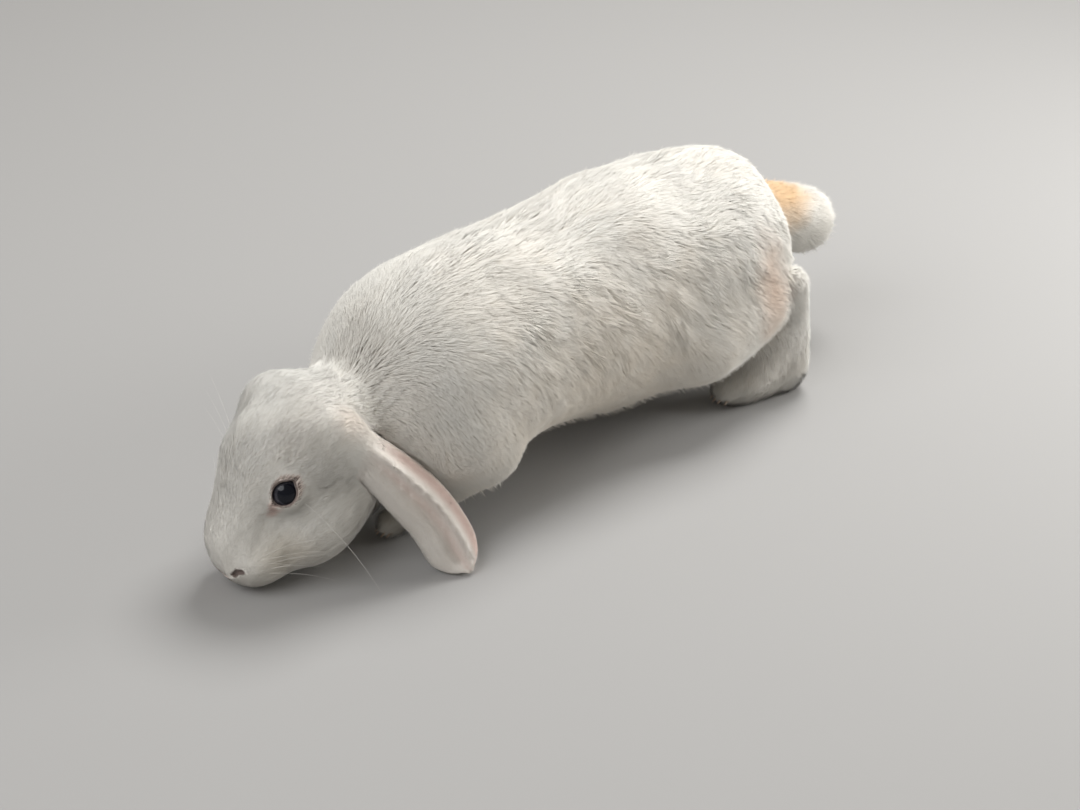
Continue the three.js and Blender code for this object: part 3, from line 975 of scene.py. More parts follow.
@dataclass(frozen=True)
class Markings:
    """The animal's colours, the same for its skin and its coat, with painted shade and painted
    light among them.
    """

    white: Rgb = (0.895, 0.874, 0.815)
    # painted shade: the tufts are darkened by this colour towards their roots
    shaded: Rgb = (0.86, 0.80, 0.71)
    cream: Rgb = (0.88, 0.845, 0.775)
    blush: Rgb = (0.78, 0.56, 0.49)
    # dark: the lids' dark rims, and painted shade inside the nostrils
    dark: Rgb = (0.10, 0.065, 0.055)
    patches: tuple[Patch, ...] = (
        # painted warm shade: the cream below is partly the fur's own cream and partly stands for
        # the warm shade of the lower flank and belly
        Patch((205, 0, 58), (175, 100, 82), (0.86, 0.765, 0.63), 0.8, 0.8),  # cream below
        # painted warm shade: the cream cheeks are partly the fur's own cream and partly stand for
        # the warm shade of the cheeks
        Patch((6, -20, 24), (20, 20, 20), (0.86, 0.78, 0.65), 0.5, 0.9),  # cream cheeks
        Patch((17, 28, 24), (20, 20, 20), (0.86, 0.78, 0.65), 0.5, 0.9),
        Patch((386, -6, 95), (36, 36, 30), (0.82, 0.55, 0.30), 0.95, 0.75),  # orange over the tail
        Patch((320, -62, 76), (25, 24, 50), (0.64, 0.45, 0.33), 0.75, 0.9),  # stained rump, left
        Patch((320, 62, 76), (25, 24, 50), (0.64, 0.45, 0.33), 0.75, 0.9),  # and right
        # painted shade: the warm tint behind the ears is partly the fur's own and partly the shade
        # of the fold there
        Patch((42, -33, 92), (20, 18, 20), (0.80, 0.66, 0.55), 0.6, 0.9),  # warm behind the ears
        Patch((52, 33, 90), (20, 18, 20), (0.80, 0.66, 0.55), 0.6, 0.9),
        Patch((40, 9, 62), (60, 50, 60), (0.86, 0.865, 0.83), 0.5, 0.8),  # cooler head
        # painted light: the hocks are whiter than the coat, partly their own clean white and partly
        # for the light that the legs catch
        Patch((346, 0, 42), (30, 80, 44), (0.93, 0.925, 0.89), 0.9, 0.6),  # clean white hocks
        Patch((335, 0, 0), (60, 80, 10), (0.84, 0.74, 0.62), 0.5, 0.8),  # worn soles
    )

    def group(self, shift: Array) -> bpy.types.NodeTree:
        """Builds the shader group that all of the animal's flesh uses.

        Args: shift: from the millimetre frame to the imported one.

        Returns: the group, from Tip, Tone, Pink and Dark to Color.
        """
        made = bpy.data.node_groups.new("rabbit_markings", "ShaderNodeTree")
        for name in ("Tip", "Tone", "Pink", "Dark"):
            made.interface.new_socket(name, in_out="INPUT", socket_type="NodeSocketFloat")
        made.interface.new_socket("Color", in_out="OUTPUT", socket_type="NodeSocketColor")
        t = Tree(made)
        given = t.node("NodeGroupInput").outputs
        place = t.node("ShaderNodeTexCoord").outputs["Object"]
        color = t.mix(t.between(t.noise(place, 22.0), 0.35, 0.7), self.white, self.cream)
        for patch in self.patches:
            centre = tuple((np.array(patch.at) + shift) * MM)
            radii = tuple(np.array(patch.radii) * MM)
            offset = t.vector("DIVIDE", t.vector("SUBTRACT", place, centre), radii)
            wander = t.math("MULTIPLY_ADD", t.noise(place, 60.0, 3.0), 0.5, -0.25)
            away = t.math("ADD", t.vector("LENGTH", offset), wander)
            mask = t.between(away, 1.0, 1.0 - patch.soft, 0.0, patch.strength)
            color = t.mix(mask, color, patch.color)
        color = t.mix(given["Pink"], color, self.blush)
        color = t.mix(given["Dark"], color, self.dark)
        # painted shade: each tuft's colour is darkened towards its root, for the shade deep in the
        # coat
        rooted = t.between(given["Tip"], 0.0, 0.8, 0.4, 0.0)
        color = t.mix(rooted, color, self.shaded, "MULTIPLY")
        bright = t.math("MULTIPLY_ADD", given["Tone"], 0.10, 0.93)
        lifted = t.node("ShaderNodeVectorMath", {0: color, "Scale": bright}, operation="SCALE")
        t.node("NodeGroupOutput", {0: lifted.outputs[0]})
        return made


@dataclass(frozen=True)
class FleshFinish:
    """Skin or hair over the shared markings."""

    name: str
    roughness: float
    sheen: float
    bump: float
    grain: float
    specular: float = 0.3
    pink: float = 0.0

    def material(self, markings: bpy.types.NodeTree) -> bpy.types.Material:
        """Args: markings: the shared colour group. Returns: the material."""
        made, t, shader = new_material(self.name)
        place = t.node("ShaderNodeTexCoord").outputs["Object"]
        pink = t.math("MAXIMUM", t.attribute("pink"), self.pink)
        inputs = {"Tip": t.attribute("tip"), "Tone": t.attribute("tone"), "Pink": pink}
        inputs["Dark"] = t.attribute("dark")
        dyed = t.node("ShaderNodeGroup", inputs, node_tree=markings)
        low, high = self.roughness - 0.06, self.roughness + 0.06
        grain = t.noise(place, self.grain, 3.0)
        inputs = {"Strength": self.bump, "Distance": 0.0006, "Height": grain}
        bump = t.node("ShaderNodeBump", inputs)
        finish = {
            "Base Color": dyed.outputs[0],
            "Roughness": t.between(t.noise(place, 400.0), 0.2, 0.8, low, high),
            "Normal": bump.outputs[0],
            "Specular IOR Level": self.specular,
            "Sheen Weight": self.sheen,
            "Sheen Roughness": 0.45,
        }
        t.feed(shader, finish)
        return made


@dataclass(frozen=True)
class EyeFinish:
    """A dark wet eye: pupil, grey-blue iris and a little of the white at the back."""

    pupil: Rgb = (0.004, 0.005, 0.010)
    iris: Rgb = (0.085, 0.085, 0.10)
    rim: Rgb = (0.016, 0.014, 0.020)
    white: Rgb = (0.42, 0.34, 0.31)

    def material(self, eye: Eye) -> bpy.types.Material:
        """Args: eye: the eye's sizes. Returns: the material."""
        made, t, shader = new_material("wet_eye")
        ring = t.attribute("ring")
        around = t.math("MULTIPLY", t.attribute("spoke"), 14.0)
        grain = t.node("ShaderNodeCombineXYZ", {0: around, 1: ring}).outputs[0]
        fibre = t.noise(grain, 2.2, 3.0)
        iris = t.mix(t.between(fibre, 0.3, 0.75), self.rim, self.iris)
        color = t.mix(t.between(ring, eye.pupil - 0.35, eye.pupil + 0.45), self.pupil, iris)
        color = t.mix(t.between(ring, eye.iris - 0.9, eye.iris - 0.1), color, self.rim)
        color = t.mix(t.between(ring, eye.iris + 0.1, eye.iris + 0.7), color, self.white)
        finish = {
            "Base Color": color,
            "Roughness": 0.2,
            "Specular IOR Level": 0.1,
            "Coat Weight": 0.35,
            "Coat Roughness": 0.02,
        }
        t.feed(shader, finish)
        return made


@dataclass(frozen=True)
class HornFinish:
    """Translucent horn or a single stiff hair."""

    name: str
    color: Rgb
    dark: Rgb
    roughness: float
    scale: float

    def material(self) -> bpy.types.Material:
        """Returns: the material."""
        made, t, shader = new_material(self.name)
        place = t.node("ShaderNodeTexCoord").outputs["Object"]
        grain = t.noise(place, self.scale, 2.0)
        color = t.mix(t.between(grain, 0.3, 0.7), self.color, self.dark)
        bump = t.node("ShaderNodeBump", {"Strength": 0.3, "Distance": 0.0001, "Height": grain})
        finish = {"Base Color": color, "Roughness": self.roughness, "Normal": bump.outputs[0]}
        t.feed(shader, finish)
        return made


# ---- The animal ----------------------------------------------------------------------------------
@dataclass
class Skin:
    """The animal's one closed skin."""

    anatomy: Anatomy
    cell: float = 2.3
    low: Place = (-22.0, -78.0, -4.0)
    high: Place = (446.0, 80.0, 152.0)
    slab: int = 24
    finer: tuple[tuple[float | None, float], ...] = ((None, 0.0), (12.0, 4.0), (10.3, 2.0))
    nodes: tuple[str, ...] = ()

    def shape(self) -> None:
        """Works out the skin's points and faces, finest round the eyes, nose and mouth."""
        low, high = np.array(self.low), np.array(self.high)
        counts = np.ceil((high - low) / self.cell).astype(int) + 1
        axes = [low[k] + self.cell * np.arange(counts[k]) for k in range(3)]
        values = np.empty(counts)
        for first in range(0, counts[0], self.slab):
            own = slice(first, first + self.slab)
            grid = np.meshgrid(axes[0][own], axes[1], axes[2], indexing="ij")
            points = np.stack([g.ravel() for g in grid], 1)
            values[own] = self.anatomy.skin(points).reshape(grid[0].shape)
        points, faces = net(values, low, self.cell)
        points, faces = self._largest(points, faces)
        points = self.anatomy.settle(points, passes=2)
        for near_eye, near_lines in self.finer:
            marked = self._near_face(points[faces].mean(1), near_eye, near_lines)
            points, faces = refine(points, faces, marked)
            points = self.anatomy.settle(points, passes=2)
        self.points, self.faces = points, outward(points, faces)

    @staticmethod
    def _largest(points: Array, faces: Array) -> tuple[Array, Array]:
        """Keeps the one body that holds most points. Returns: its points and faces."""
        label = np.arange(len(points))
        while True:
            least = label[faces].min(1)
            before = label.copy()
            for k in range(3):
                np.minimum.at(label, faces[:, k], least)
            label = label[label]
            if (label == before).all():
                break
        kept = label == np.bincount(label).argmax()
        number = np.cumsum(kept) - 1
        return points[kept], number[faces[kept[faces[:, 0]]]]

    def _near_face(self, middles: Array, near_eye: float | None, near_lines: float) -> Array:
        """Which faces lie close to the eyes or the lines of the muzzle, or on the head."""
        q = self.anatomy.to_head(middles)
        if near_eye is None:
            return (q[:, 0] < 84) & (self.anatomy.zones(middles)[Zone.HEAD] < 3)
        q = to_right(q)
        marked = np.linalg.norm(q - np.array(self.anatomy.eye.at), axis=1) < near_eye
        for line, _ in self.anatomy.creases:
            near = np.argwhere(np.linalg.norm(q - line.mean(0), axis=1) < 18)[:, 0]
            marked[near] |= from_line(q[near], line) < near_lines
        return marked

    def build(self, bench: Bench, material: bpy.types.Material) -> None:
        """Args: bench: where pieces are made. material: the skin's finish."""
        values = {
            "tip": np.full(len(self.points), 0.7),
            "tone": 0.5 + 0.25 * Ripple(5, 30)(self.points),
            "pink": BARE.pink(self.anatomy, self.points),
            "dark": BARE.dark(self.anatomy, self.points),
        }
        obj = bench.piece("skin", self.points, self.faces, material, "bare_skin", values)
        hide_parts(*self.nodes)
        self._unwrap(obj)
        layer = obj.data.uv_layers["OFBake"]
        uv = np.empty(len(obj.data.loops) * 2, np.float32)
        layer.data.foreach_get("uv", uv)
        self.uv = uv.reshape(-1, 3, 2).astype(float)

    @staticmethod
    def _unwrap(obj: bpy.types.Object) -> None:
        """Lays the skin's own shape out flat in a map of its own."""
        obj.data.uv_layers.new(name="OFBake")
        bpy.context.view_layer.objects.active = obj
        obj.select_set(True)
        bpy.ops.object.mode_set(mode="EDIT")
        bpy.ops.mesh.select_all(action="SELECT")
        bpy.ops.uv.smart_project(angle_limit=math.radians(70), island_margin=0.002)
        bpy.ops.object.mode_set(mode="OBJECT")
        obj.select_set(False)


@dataclass(frozen=True)
class Bareness:
    """Where the skin shows pink or dark through the coat, with painted shade in the nostrils and on
    the ears, as strengths from 0 to 1.
    """

    nose: float = 0.6
    lids: float = 0.55
    tear: float = 0.8
    ears: float = 0.12
    # the pink of the ear's rear fall and middle hollow is partly the skin's own and partly painted
    # shade, with painted glow of light through the thin ear behind the ridge
    ears_rear: float = 0.75
    ears_middle: float = 0.35
    dark_lids: float = 0.85
    dark_corners: float = 0.75
    dark_tear: float = 0.3
    # painted shade inside the nostrils
    painted_nostril_shade: float = 0.95
    tear_track: Dent = Dent((38.5, 21.5, 14.5), (33.0, 19.5, 11.5), 0, 0)
    tear_corner: Dent = Dent((38.5, 21.5, 14.5), (34.5, 20.2, 12.5), 0, 0)

    def pink(self, anatomy: Anatomy, points: Array) -> Array:
        """How pink the skin shows through at each point; on the ears it is partly painted shade and
        glow.
        """
        q = to_right(anatomy.to_head(points))
        nose = ramp(-np.linalg.norm(q - np.array([-3.5, 2.0, 1.5]), axis=1), -6.5, -2.5)
        ring, out, _, _ = anatomy.eye.ring(q)
        lids = self.lids * ramp(-ring, -1.34, -1.1) * (out > 1)
        tear = self.tear * ramp(-self.tear_track.away(q), -4.0, -0.6)
        found = np.maximum.reduce([self.nose * nose, lids, tear])
        for ear in anatomy.ears:
            near = ear.near(points)
            if not near.any():
                continue
            v, u, _, _ = ear.local(points[near])
            on_ear = ramp(-ear.distance(points[near]), -3, -0.8) * ramp(v, 0.02, 0.15)
            # partly pink skin, partly painted shade of the fall and the hollow and painted glow of
            # light through the ear
            rear = self.ears_rear * bell(u, -0.78, 0.24) + self.ears_middle * bell(u, 0.02, 0.22)
            pink = on_ear * (self.ears + rear * ramp(v, 0.1, 0.35))
            found[near] = np.maximum(found[near], pink)
        return found

    def dark(self, anatomy: Anatomy, points: Array) -> Array:
        """How dark the bare rims of the lids are at each point, with painted shade inside the
        nostrils.
        """
        q = to_right(anatomy.to_head(points))
        ring, out, back, down = anatomy.eye.ring(q)
        near = ramp(-np.linalg.norm(q - np.array(anatomy.eye.at), axis=1), -13, -12) * (out > 1)
        rim = self.dark_lids * ramp(-ring, -1.2, -1.04)
        level = self.dark_corners * bell(down, -1.0, 0.75)
        aside = np.abs(back + 0.6)
        corners = level * ramp(aside, 6.4, 7.4) * ramp(-aside, -9.6, -8.4)
        tear = self.dark_tear * ramp(-self.tear_corner.away(q), -2.0, -0.5)
        found = np.maximum(near * np.maximum(rim, corners), tear)
        # painted shade: the skin along each nostril's line is darkened where the opening lies in
        # shade
        nostril = anatomy.creases[0][0]
        close = np.argwhere(np.linalg.norm(q - nostril.mean(0), axis=1) < 12)[:, 0]
        if len(close):
            away = from_line(q[close], nostril)
            dark = self.painted_nostril_shade * ramp(-away, -2.4, -1.2)
            found[close] = np.maximum(found[close], dark)
        return found


BARE = Bareness()


@dataclass
class Eyes:
    """The two eyes."""

    anatomy: Anatomy
    rings: int = 44
    spokes: int = 48
    bulge: float = 0.35
    bulge_to: float = 0.75

    def build(self, bench: Bench, material: bpy.types.Material) -> None:
        """Args: bench: where pieces are made. material: the eye's finish."""
        eye = self.anatomy.eye
        theta = np.linspace(0, math.pi, self.rings + 1)[1:-1]
        phi = np.linspace(0, 2 * math.pi, self.spokes, endpoint=False)
        out, back, up = eye.ball()
        swell = self.bulge * np.clip(1 - (theta / self.bulge_to) ** 2, 0, 1) ** 2
        size = eye.radius + swell
        ring = (
            (size * np.cos(theta))[:, None, None] * out
            + (size * np.sin(theta))[:, None, None]
            * (np.cos(phi)[None, :, None] * back + np.sin(phi)[None, :, None] * up)
        ).reshape(-1, 3)
        tips = np.array([out * (eye.radius + self.bulge), -out * eye.radius])
        local = np.vstack([ring, tips])
        front = np.where(theta < math.pi / 2, size * np.sin(theta), 2 * eye.radius)
        radius = np.concatenate([np.repeat(front, self.spokes), [0, 2 * eye.radius]])
        spoke = np.concatenate([np.tile(np.abs(np.sin(phi * 1.5)), len(theta)), [0, 0]])
        faces = self._faces(len(theta), self.spokes)
        for side in Side:
            points = self.anatomy.from_head(side.bring(local + np.array(eye.at)))
            turned = outward(points - points.mean(0), faces)
            name = f"eye_{side.name.lower()}"
            values = {"ring": radius, "spoke": spoke}
            obj = bench.piece(f"{name}_ball", points, turned, material, "eye", values)
            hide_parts(name)

    @staticmethod
    def _faces(rings: int, spokes: int) -> Array:
        """Triangles over rings of points closed by a point at each end."""
        faces = []
        for r in range(rings - 1):
            for s in range(spokes):
                a, b = r * spokes + s, r * spokes + (s + 1) % spokes
                faces += [(a, a + spokes, b), (b, a + spokes, b + spokes)]
        first, last = rings * spokes, rings * spokes + 1
        for s in range(spokes):
            n = (s + 1) % spokes
            faces += [(first, s, n), (last, (rings - 1) * spokes + n, (rings - 1) * spokes + s)]
        return np.array(faces)


@dataclass(frozen=True)
class Pile:
    """How the coat grows in one region. Lengths are in millimetres and angles in degrees."""

    name: str
    spacing: float
    length: float
    width: float
    stray: float
    swirl: float
    seed: int
    swell: float = 30.0
    lock: float = 0.0
    loose: float = 0.04
    pieces: int = 1


@dataclass
class Tufts:
    """Solid tufts with three sides, broad at the root and drawn out to a point."""

    roots: Array
    tips: Array
    root_normals: Array
    tip_normals: Array
    width: Array
    roll: Array | float = 0.0
    crown: float = 0.3  # how high the back stands over the sides, in half widths
    on_map: float = 0.003  # how much of the skin's map a tuft takes up
    corners: tuple[tuple[int, int, int], ...] = ((0, 1, 2), (1, 0, 3), (2, 1, 3), (0, 2, 3))
    patch: tuple[tuple[float, float], ...] = ((-0.5, 0.3), (0.0, 0.3), (0.5, 0.3), (0.0, 1.0))

    def build(
        self,
        bench: Bench,
        name: str,
        material: bpy.types.Material,
        slot: str,
        values: dict[str, Array],
        uv: Array,
    ) -> None:
        """Args: bench: where pieces are made. name: the piece's. material: the coat's finish.
        slot: not used. values: attributes of each tuft. uv: each root's place on the map.
        """
        forward = unit(self.tips - self.roots)
        side = unit(np.cross(self.root_normals, forward))
        rise = np.cross(forward, side)
        rolled = side * np.cos(self.roll)[:, None] + rise * np.sin(self.roll)[:, None]
        back = rise * np.cos(self.roll)[:, None] - side * np.sin(self.roll)[:, None]
        half = (self.width / 2)[:, None]
        edge, top = rolled * half, back * half * self.crown
        points = [self.roots - edge, self.roots + top, self.roots + edge, self.tips]
        up = unit(self.root_normals + 0.1 * back)
        at_tip = unit(self.tip_normals + 0.15 * forward)
        normals = [unit(up - 0.18 * rolled), up, unit(up + 0.18 * rolled), at_tip]
        count, each = len(self.width), len(points)
        template = np.array(self.corners)
        faces = (template[None] + each * np.arange(count)[:, None, None]).reshape(-1, 3)
        attributes = {key: np.repeat(value, each) for key, value in values.items()}
        attributes["tip"] = np.tile([0.0, 0.0, 0.0, 1.0], count)
        spread = self.on_map * (np.array(self.patch) - np.array([0.0, 0.5]))
        corner = uv[:, None, None, :] + spread[template][None]
        stacked, facing = (np.stack(table, 1).reshape(-1, 3) for table in (points, normals))
        bench.piece(name, stacked, faces, material, slot, attributes, corner.reshape(-1, 2), facing)


@dataclass
class Coat:
    """Tufts all over the skin, combed along the lie of the coat."""

    anatomy: Anatomy
    skin: Skin
    roots_tried: float = 2.6
    loose_lift: float = 0.5
    least_height: float = 0.35
    ear_height: float = 0.45
    lengths: tuple[float, float] = (0.72, 1.15)
    widths: tuple[float, float] = (0.65, 1.15)
    heights: tuple[float, float] = (0.88, 1.04)
    under_skin: float = 0.2
    lock_turn: float = 6.0
    bare_round_eye: float = 0.55
    bare_round_nostril: float = 1.7
    piles: tuple[Pile, ...] = (
        Pile("body", 0.76, 10.5, 0.95, stray=6, swirl=12, seed=11, lock=7.0, pieces=5),
        Pile("neck", 0.66, 7.0, 0.8, stray=6, swirl=12, seed=17, swell=24),
        Pile("tail", 0.6, 9.5, 0.75, stray=11, swirl=16, seed=12, swell=16, loose=0.15),
        Pile("head", 0.5, 5.2, 0.6, stray=7, swirl=10, seed=13, swell=16, pieces=2),
        Pile("face", 0.47, 3.4, 0.5, stray=5, swirl=5, seed=14, swell=8),
        Pile("ear", 0.62, 4.2, 0.42, stray=4, swirl=5, seed=15, swell=14),
        Pile("leg", 0.72, 6.0, 0.75, stray=6, swirl=8, seed=16, lock=4.0),
    )
    trunk_way: Place = (1.0, 0.0, 0.0)
    trunk_fall: float = 1.25
    neck_fall: float = 0.9
    tail_way: Place = (0.92, -0.06, -0.5)
    foreleg_way: Place = (-0.25, 0.0, -1.0)
    hindleg_way: Place = (0.0, 0.0, -1.0)
    foot_way: Place = (-1.0, 0.0, -0.15)
    brow_way: Place = (1.0, 0.0, -0.25)
    whorl: Place = (-6.0, 0.0, 1.0)

    def prepare(self) -> None:
        """Sorts the skin's faces into regions."""
        self.corner = self.skin.points[self.skin.faces]
        middle = self.corner.mean(1)
        zones = self.anatomy.zones(middle)
        order = list(Zone)
        nearest = np.argmin([zones[z] for z in order], axis=0)
        q = self.anatomy.to_head(middle)
        m = to_right(q)
        from_eye = np.linalg.norm(m - np.array(self.anatomy.eye.at), axis=1)
        is_head = nearest == order.index(Zone.HEAD)
        on_leg = np.isin(nearest, [order.index(Zone.FORELEG), order.index(Zone.HINDLEG)])
        on_ear = zones[Zone.EAR] < 0.8
        fine = is_head & ((q[:, 0] < 34) | (from_eye < 15)) & ~on_ear
        region = np.full(len(middle), "body", dtype=object)
        region[nearest == order.index(Zone.TAIL)] = "tail"
        region[on_leg] = "leg"
        region[(region == "body") & (zones[Zone.HEAD] < 30)] = "neck"
        region[is_head] = "head"
        region[fine] = "face"
        region[on_ear] = "ear"
        region[from_eye < self.anatomy.eye.radius + self.bare_round_eye] = "bare"
        for line, _ in self.anatomy.creases[:2]:
            away = np.full(len(middle), FAR)
            away[fine] = from_line(m[fine], line)
            region[away < self.bare_round_nostril] = "bare"
        region[middle[:, 2] < self.anatomy.sole + 0.15] = "bare"
        self.region = region
        a, b, c = (self.corner[:, k] for k in range(3))
        self.area = np.linalg.norm(np.cross(b - a, c - a), axis=1) / 2

    def _roots(self, pile: Pile, rng: np.random.Generator) -> tuple[Array, Array]:
        """Scatters roots over a region, one to each small cell of space.

        Returns: the roots, and their places on the skin's map.
        """
        own = np.argwhere(self.region == pile.name)[:, 0]
        area = self.area[own]
        count = int(area.sum() / pile.spacing**2 * self.roots_tried)
        chosen = own[rng.choice(len(own), count, p=area / area.sum())]
        r1, r2 = np.sqrt(rng.random(count)), rng.random(count)
        share = np.stack([1 - r1, r1 * (1 - r2), r1 * r2], 1)[:, :, None]
        roots = (self.corner[chosen] * share).sum(1)
        uv = (self.skin.uv[chosen] * share).sum(1)
        first = first_in_cells(roots, pile.spacing)
        return roots[first], uv[first]

    def lie(self, points: Array, normals: Array, pile: Pile) -> Array:
        """The way the coat lies, along the skin.

        Args: points: on or near the skin. normals: the skin's. pile: the region's coat.

        Returns: unit vectors.
        """
        zones = self.anatomy.zones(points)
        weights = self.anatomy.weights(zones)
        w = {zone: value[:, None] for zone, value in weights.items()}
        aslant = np.abs(normals[:, 1:2])
        trunk = np.array(self.trunk_way) - np.array([0, 0, self.trunk_fall]) * aslant
        neck = np.array(self.trunk_way) - np.array([0, 0, self.neck_fall]) * aslant
        low = ramp(-points[:, 2], -22, -8)[:, None]
        feet = np.array(self.foot_way) * low
        way = (
            w[Zone.BODY] * trunk
            + w[Zone.NECK] * neck
            + w[Zone.TAIL] * np.array(self.tail_way)
            + w[Zone.FORELEG] * (np.array(self.foreleg_way) * (1 - low) + feet)
            + w[Zone.HINDLEG] * (np.array(self.hindleg_way) * (1 - low) + feet)
            + w[Zone.HEAD] * (self._head_way(self.anatomy.to_head(points)) @ self.anatomy.turn.T)
        )
        if pile.name in ("ear", "head", "body"):
            for ear in self.anatomy.ears:
                near = ear.near(points) & (zones[Zone.EAR] < 6)
                if not near.any():
                    continue
                v, u, _, _ = ear.local(points[near])
                i = np.clip(np.round(v * (len(ear.v) - 1)).astype(int), 0, len(ear.v) - 1)
                along = ear.along[i] + ear.width[i] * (0.22 * u)[:, None]
                pull = ramp(-zones[Zone.EAR][near], -6, -1)[:, None]
                way[near] = way[near] * (1 - pull) + along * pull
        turn = np.radians(pile.swirl) * (self.slow(points) + 0.45 * self.quick(points))
        way = unit(way - normals * dot(way, normals))
        side = np.cross(normals, way)
        return way * np.cos(turn)[:, None] + side * np.sin(turn)[:, None]

    def _head_way(self, q: Array) -> Array:
        """The way the coat lies on the head: out from the nose, then back, and round the eyes."""
        outwards = unit(q - np.array(self.whorl))
        back = np.array(self.brow_way) + q * np.array([0, 0.012, 0])
        blend = ramp(q[:, 0], 12, 45)[:, None]
        from_eye = to_right(q) - np.array(self.anatomy.eye.at)
        aside = unit(from_eye) * ramp(-np.linalg.norm(from_eye, axis=1), -15, -9)[:, None]
        aside[:, 1] *= np.sign(q[:, 1])
        return outwards * (1 - blend) + back * blend + 0.9 * aside

    def _measures(
        self, pile: Pile, roots: Array, rng: np.random.Generator
    ) -> tuple[Array, Array, Array]:
        """Returns: each tuft's length, its width and how high its tip stands."""
        weights = self.anatomy.weights(self.anatomy.zones(roots))
        depth = self.anatomy.depth(roots, weights)
        q = self.anatomy.to_head(roots)
        scale = np.ones(len(roots))
        if pile.name == "head":
            scale = 0.8 + 0.5 * ramp(q[:, 0], 45, 85) + 0.3 * ramp(-q[:, 2], 10, 30)
        elif pile.name == "face":
            scale = 0.75 + 0.5 * ramp(q[:, 0], 5, 34)
        elif pile.name == "ear":
            depth = np.full(len(roots), self.ear_height)
            scale = 0.8 + 0.25 * self.slow(roots)
        elif pile.name == "body":
            scale = 0.75 + 0.25 * ramp(roots[:, 0], 60, 150)
        length = pile.length * scale * rng.uniform(*self.lengths, len(roots))
        width = pile.width * (0.8 + 0.2 * scale) * rng.uniform(*self.widths, len(roots))
        fringe = ramp(-roots[:, 2], -44, -22) if pile.name == "body" else 0.0
        loose = rng.random(len(roots)) < pile.loose + 0.1 * fringe
        stands = 1 + loose * (self.loose_lift + fringe) * rng.random(len(roots))
        swell = 0.95 + 0.05 * self.heave(roots)
        height = depth * swell * rng.uniform(*self.heights, len(roots)) * stands
        return length, width, np.maximum(height, self.least_height)

    def comb(
        self, pile: Pile, roots: Array, length: Array, height: Array, stray: Array
    ) -> tuple[Array, ...]:
        """Lays each tuft along the coat.

        Args: pile: the region's coat. roots: on the skin. length, height: each tuft's. stray: how
        far each turns aside, in radians.

        Returns: the tufts' roots, just under the skin, their tips, and the skin's normals at both.
        """
        normals = unit(self.anatomy.slope(roots)[1])
        way = self.lie(roots, normals, pile)
        side = np.cross(normals, way)
        way = way * np.cos(stray)[:, None] + side * np.sin(stray)[:, None]
        tips = roots + way * length[:, None]
        for _ in range(2):
            level, grown = self.anatomy.slope(tips)
            size = np.maximum(np.linalg.norm(grown, axis=1), 0.4)
            normals_there = unit(grown)
            tips = tips + normals_there * np.clip((height - level) / size, -3, 3)[:, None]
        tips[:, 2] = np.maximum(tips[:, 2], self.anatomy.sole)
        return roots - normals * self.under_skin, tips, normals, normals_there

    @staticmethod
    def _locks(pile: Pile, roots: Array) -> tuple[Array, Array]:
        """Shares the tufts out into locks.

        Returns: the tuft that leads each one's lock, and how far off it grows, in lock widths.
        """
        if not pile.lock:
            return np.arange(len(roots)), np.zeros(len(roots))
        leaders = first_in_cells(roots, pile.lock)
        tree = kdtree.KDTree(len(leaders))
        for number, leader in enumerate(leaders):
            tree.insert(roots[leader], number)
        tree.balance()
        leader = leaders[np.array([tree.find(p)[1] for p in roots])]
        return leader, np.linalg.norm(roots - roots[leader], axis=1) / pile.lock

    def build(self, bench: Bench, material: bpy.types.Material) -> None:
        """Args: bench: where pieces are made. material: the coat's finish."""
        self.prepare()
        for pile in self.piles:
            rng = np.random.default_rng(pile.seed)
            self.slow = Ripple(pile.seed + 100, pile.swell)
            self.quick = Ripple(pile.seed + 200, pile.swell * 0.3)
            self.heave = Ripple(pile.seed + 300, pile.swell * 0.6)
            roots, uv = self._roots(pile, rng)
            length, width, height = self._measures(pile, roots, rng)
            leader, away = self._locks(pile, roots)
            parting = self.anatomy.parting(roots) if pile.lock else np.zeros(len(roots))
            own = rng.random(len(roots))[leader]
            dome = np.clip(1 - (away / 0.8) ** 2, 0, 1)
            height *= 1 + parting * (0.1 * (dome - 0.5) + 0.08 * (own - 0.5))
            turned = pile.stray * rng.normal(size=len(roots))
            turned = turned + self.lock_turn * parting * rng.normal(size=len(roots))[leader]
            laid = self.comb(pile, roots, length, height, np.radians(turned))
            tone = 0.45 * own + 0.4 * rng.random(len(roots)) + 0.15 + 0.18 * self.slow(roots)
            values = {
                "tone": np.clip(tone, 0, 1),
                "pink": BARE.pink(self.anatomy, roots),
                "dark": BARE.dark(self.anatomy, roots),
            }
            order = np.argsort(roots[:, 0], kind="stable")
            for number, part in enumerate(np.array_split(order, pile.pieces)):
                tufts = Tufts(*(table[part] for table in laid), width=width[part])
                tufts.roll = rng.normal(size=len(part)) * 0.15
                tufts.build(
                    bench,
                    f"coat_{pile.name}_{number + 1}",
                    material,
                    {"tail": "tail_coat", "ear": "ear"}.get(pile.name, "coat"),
                    {key: value[part] for key, value in values.items()},
                    uv[part],
                )


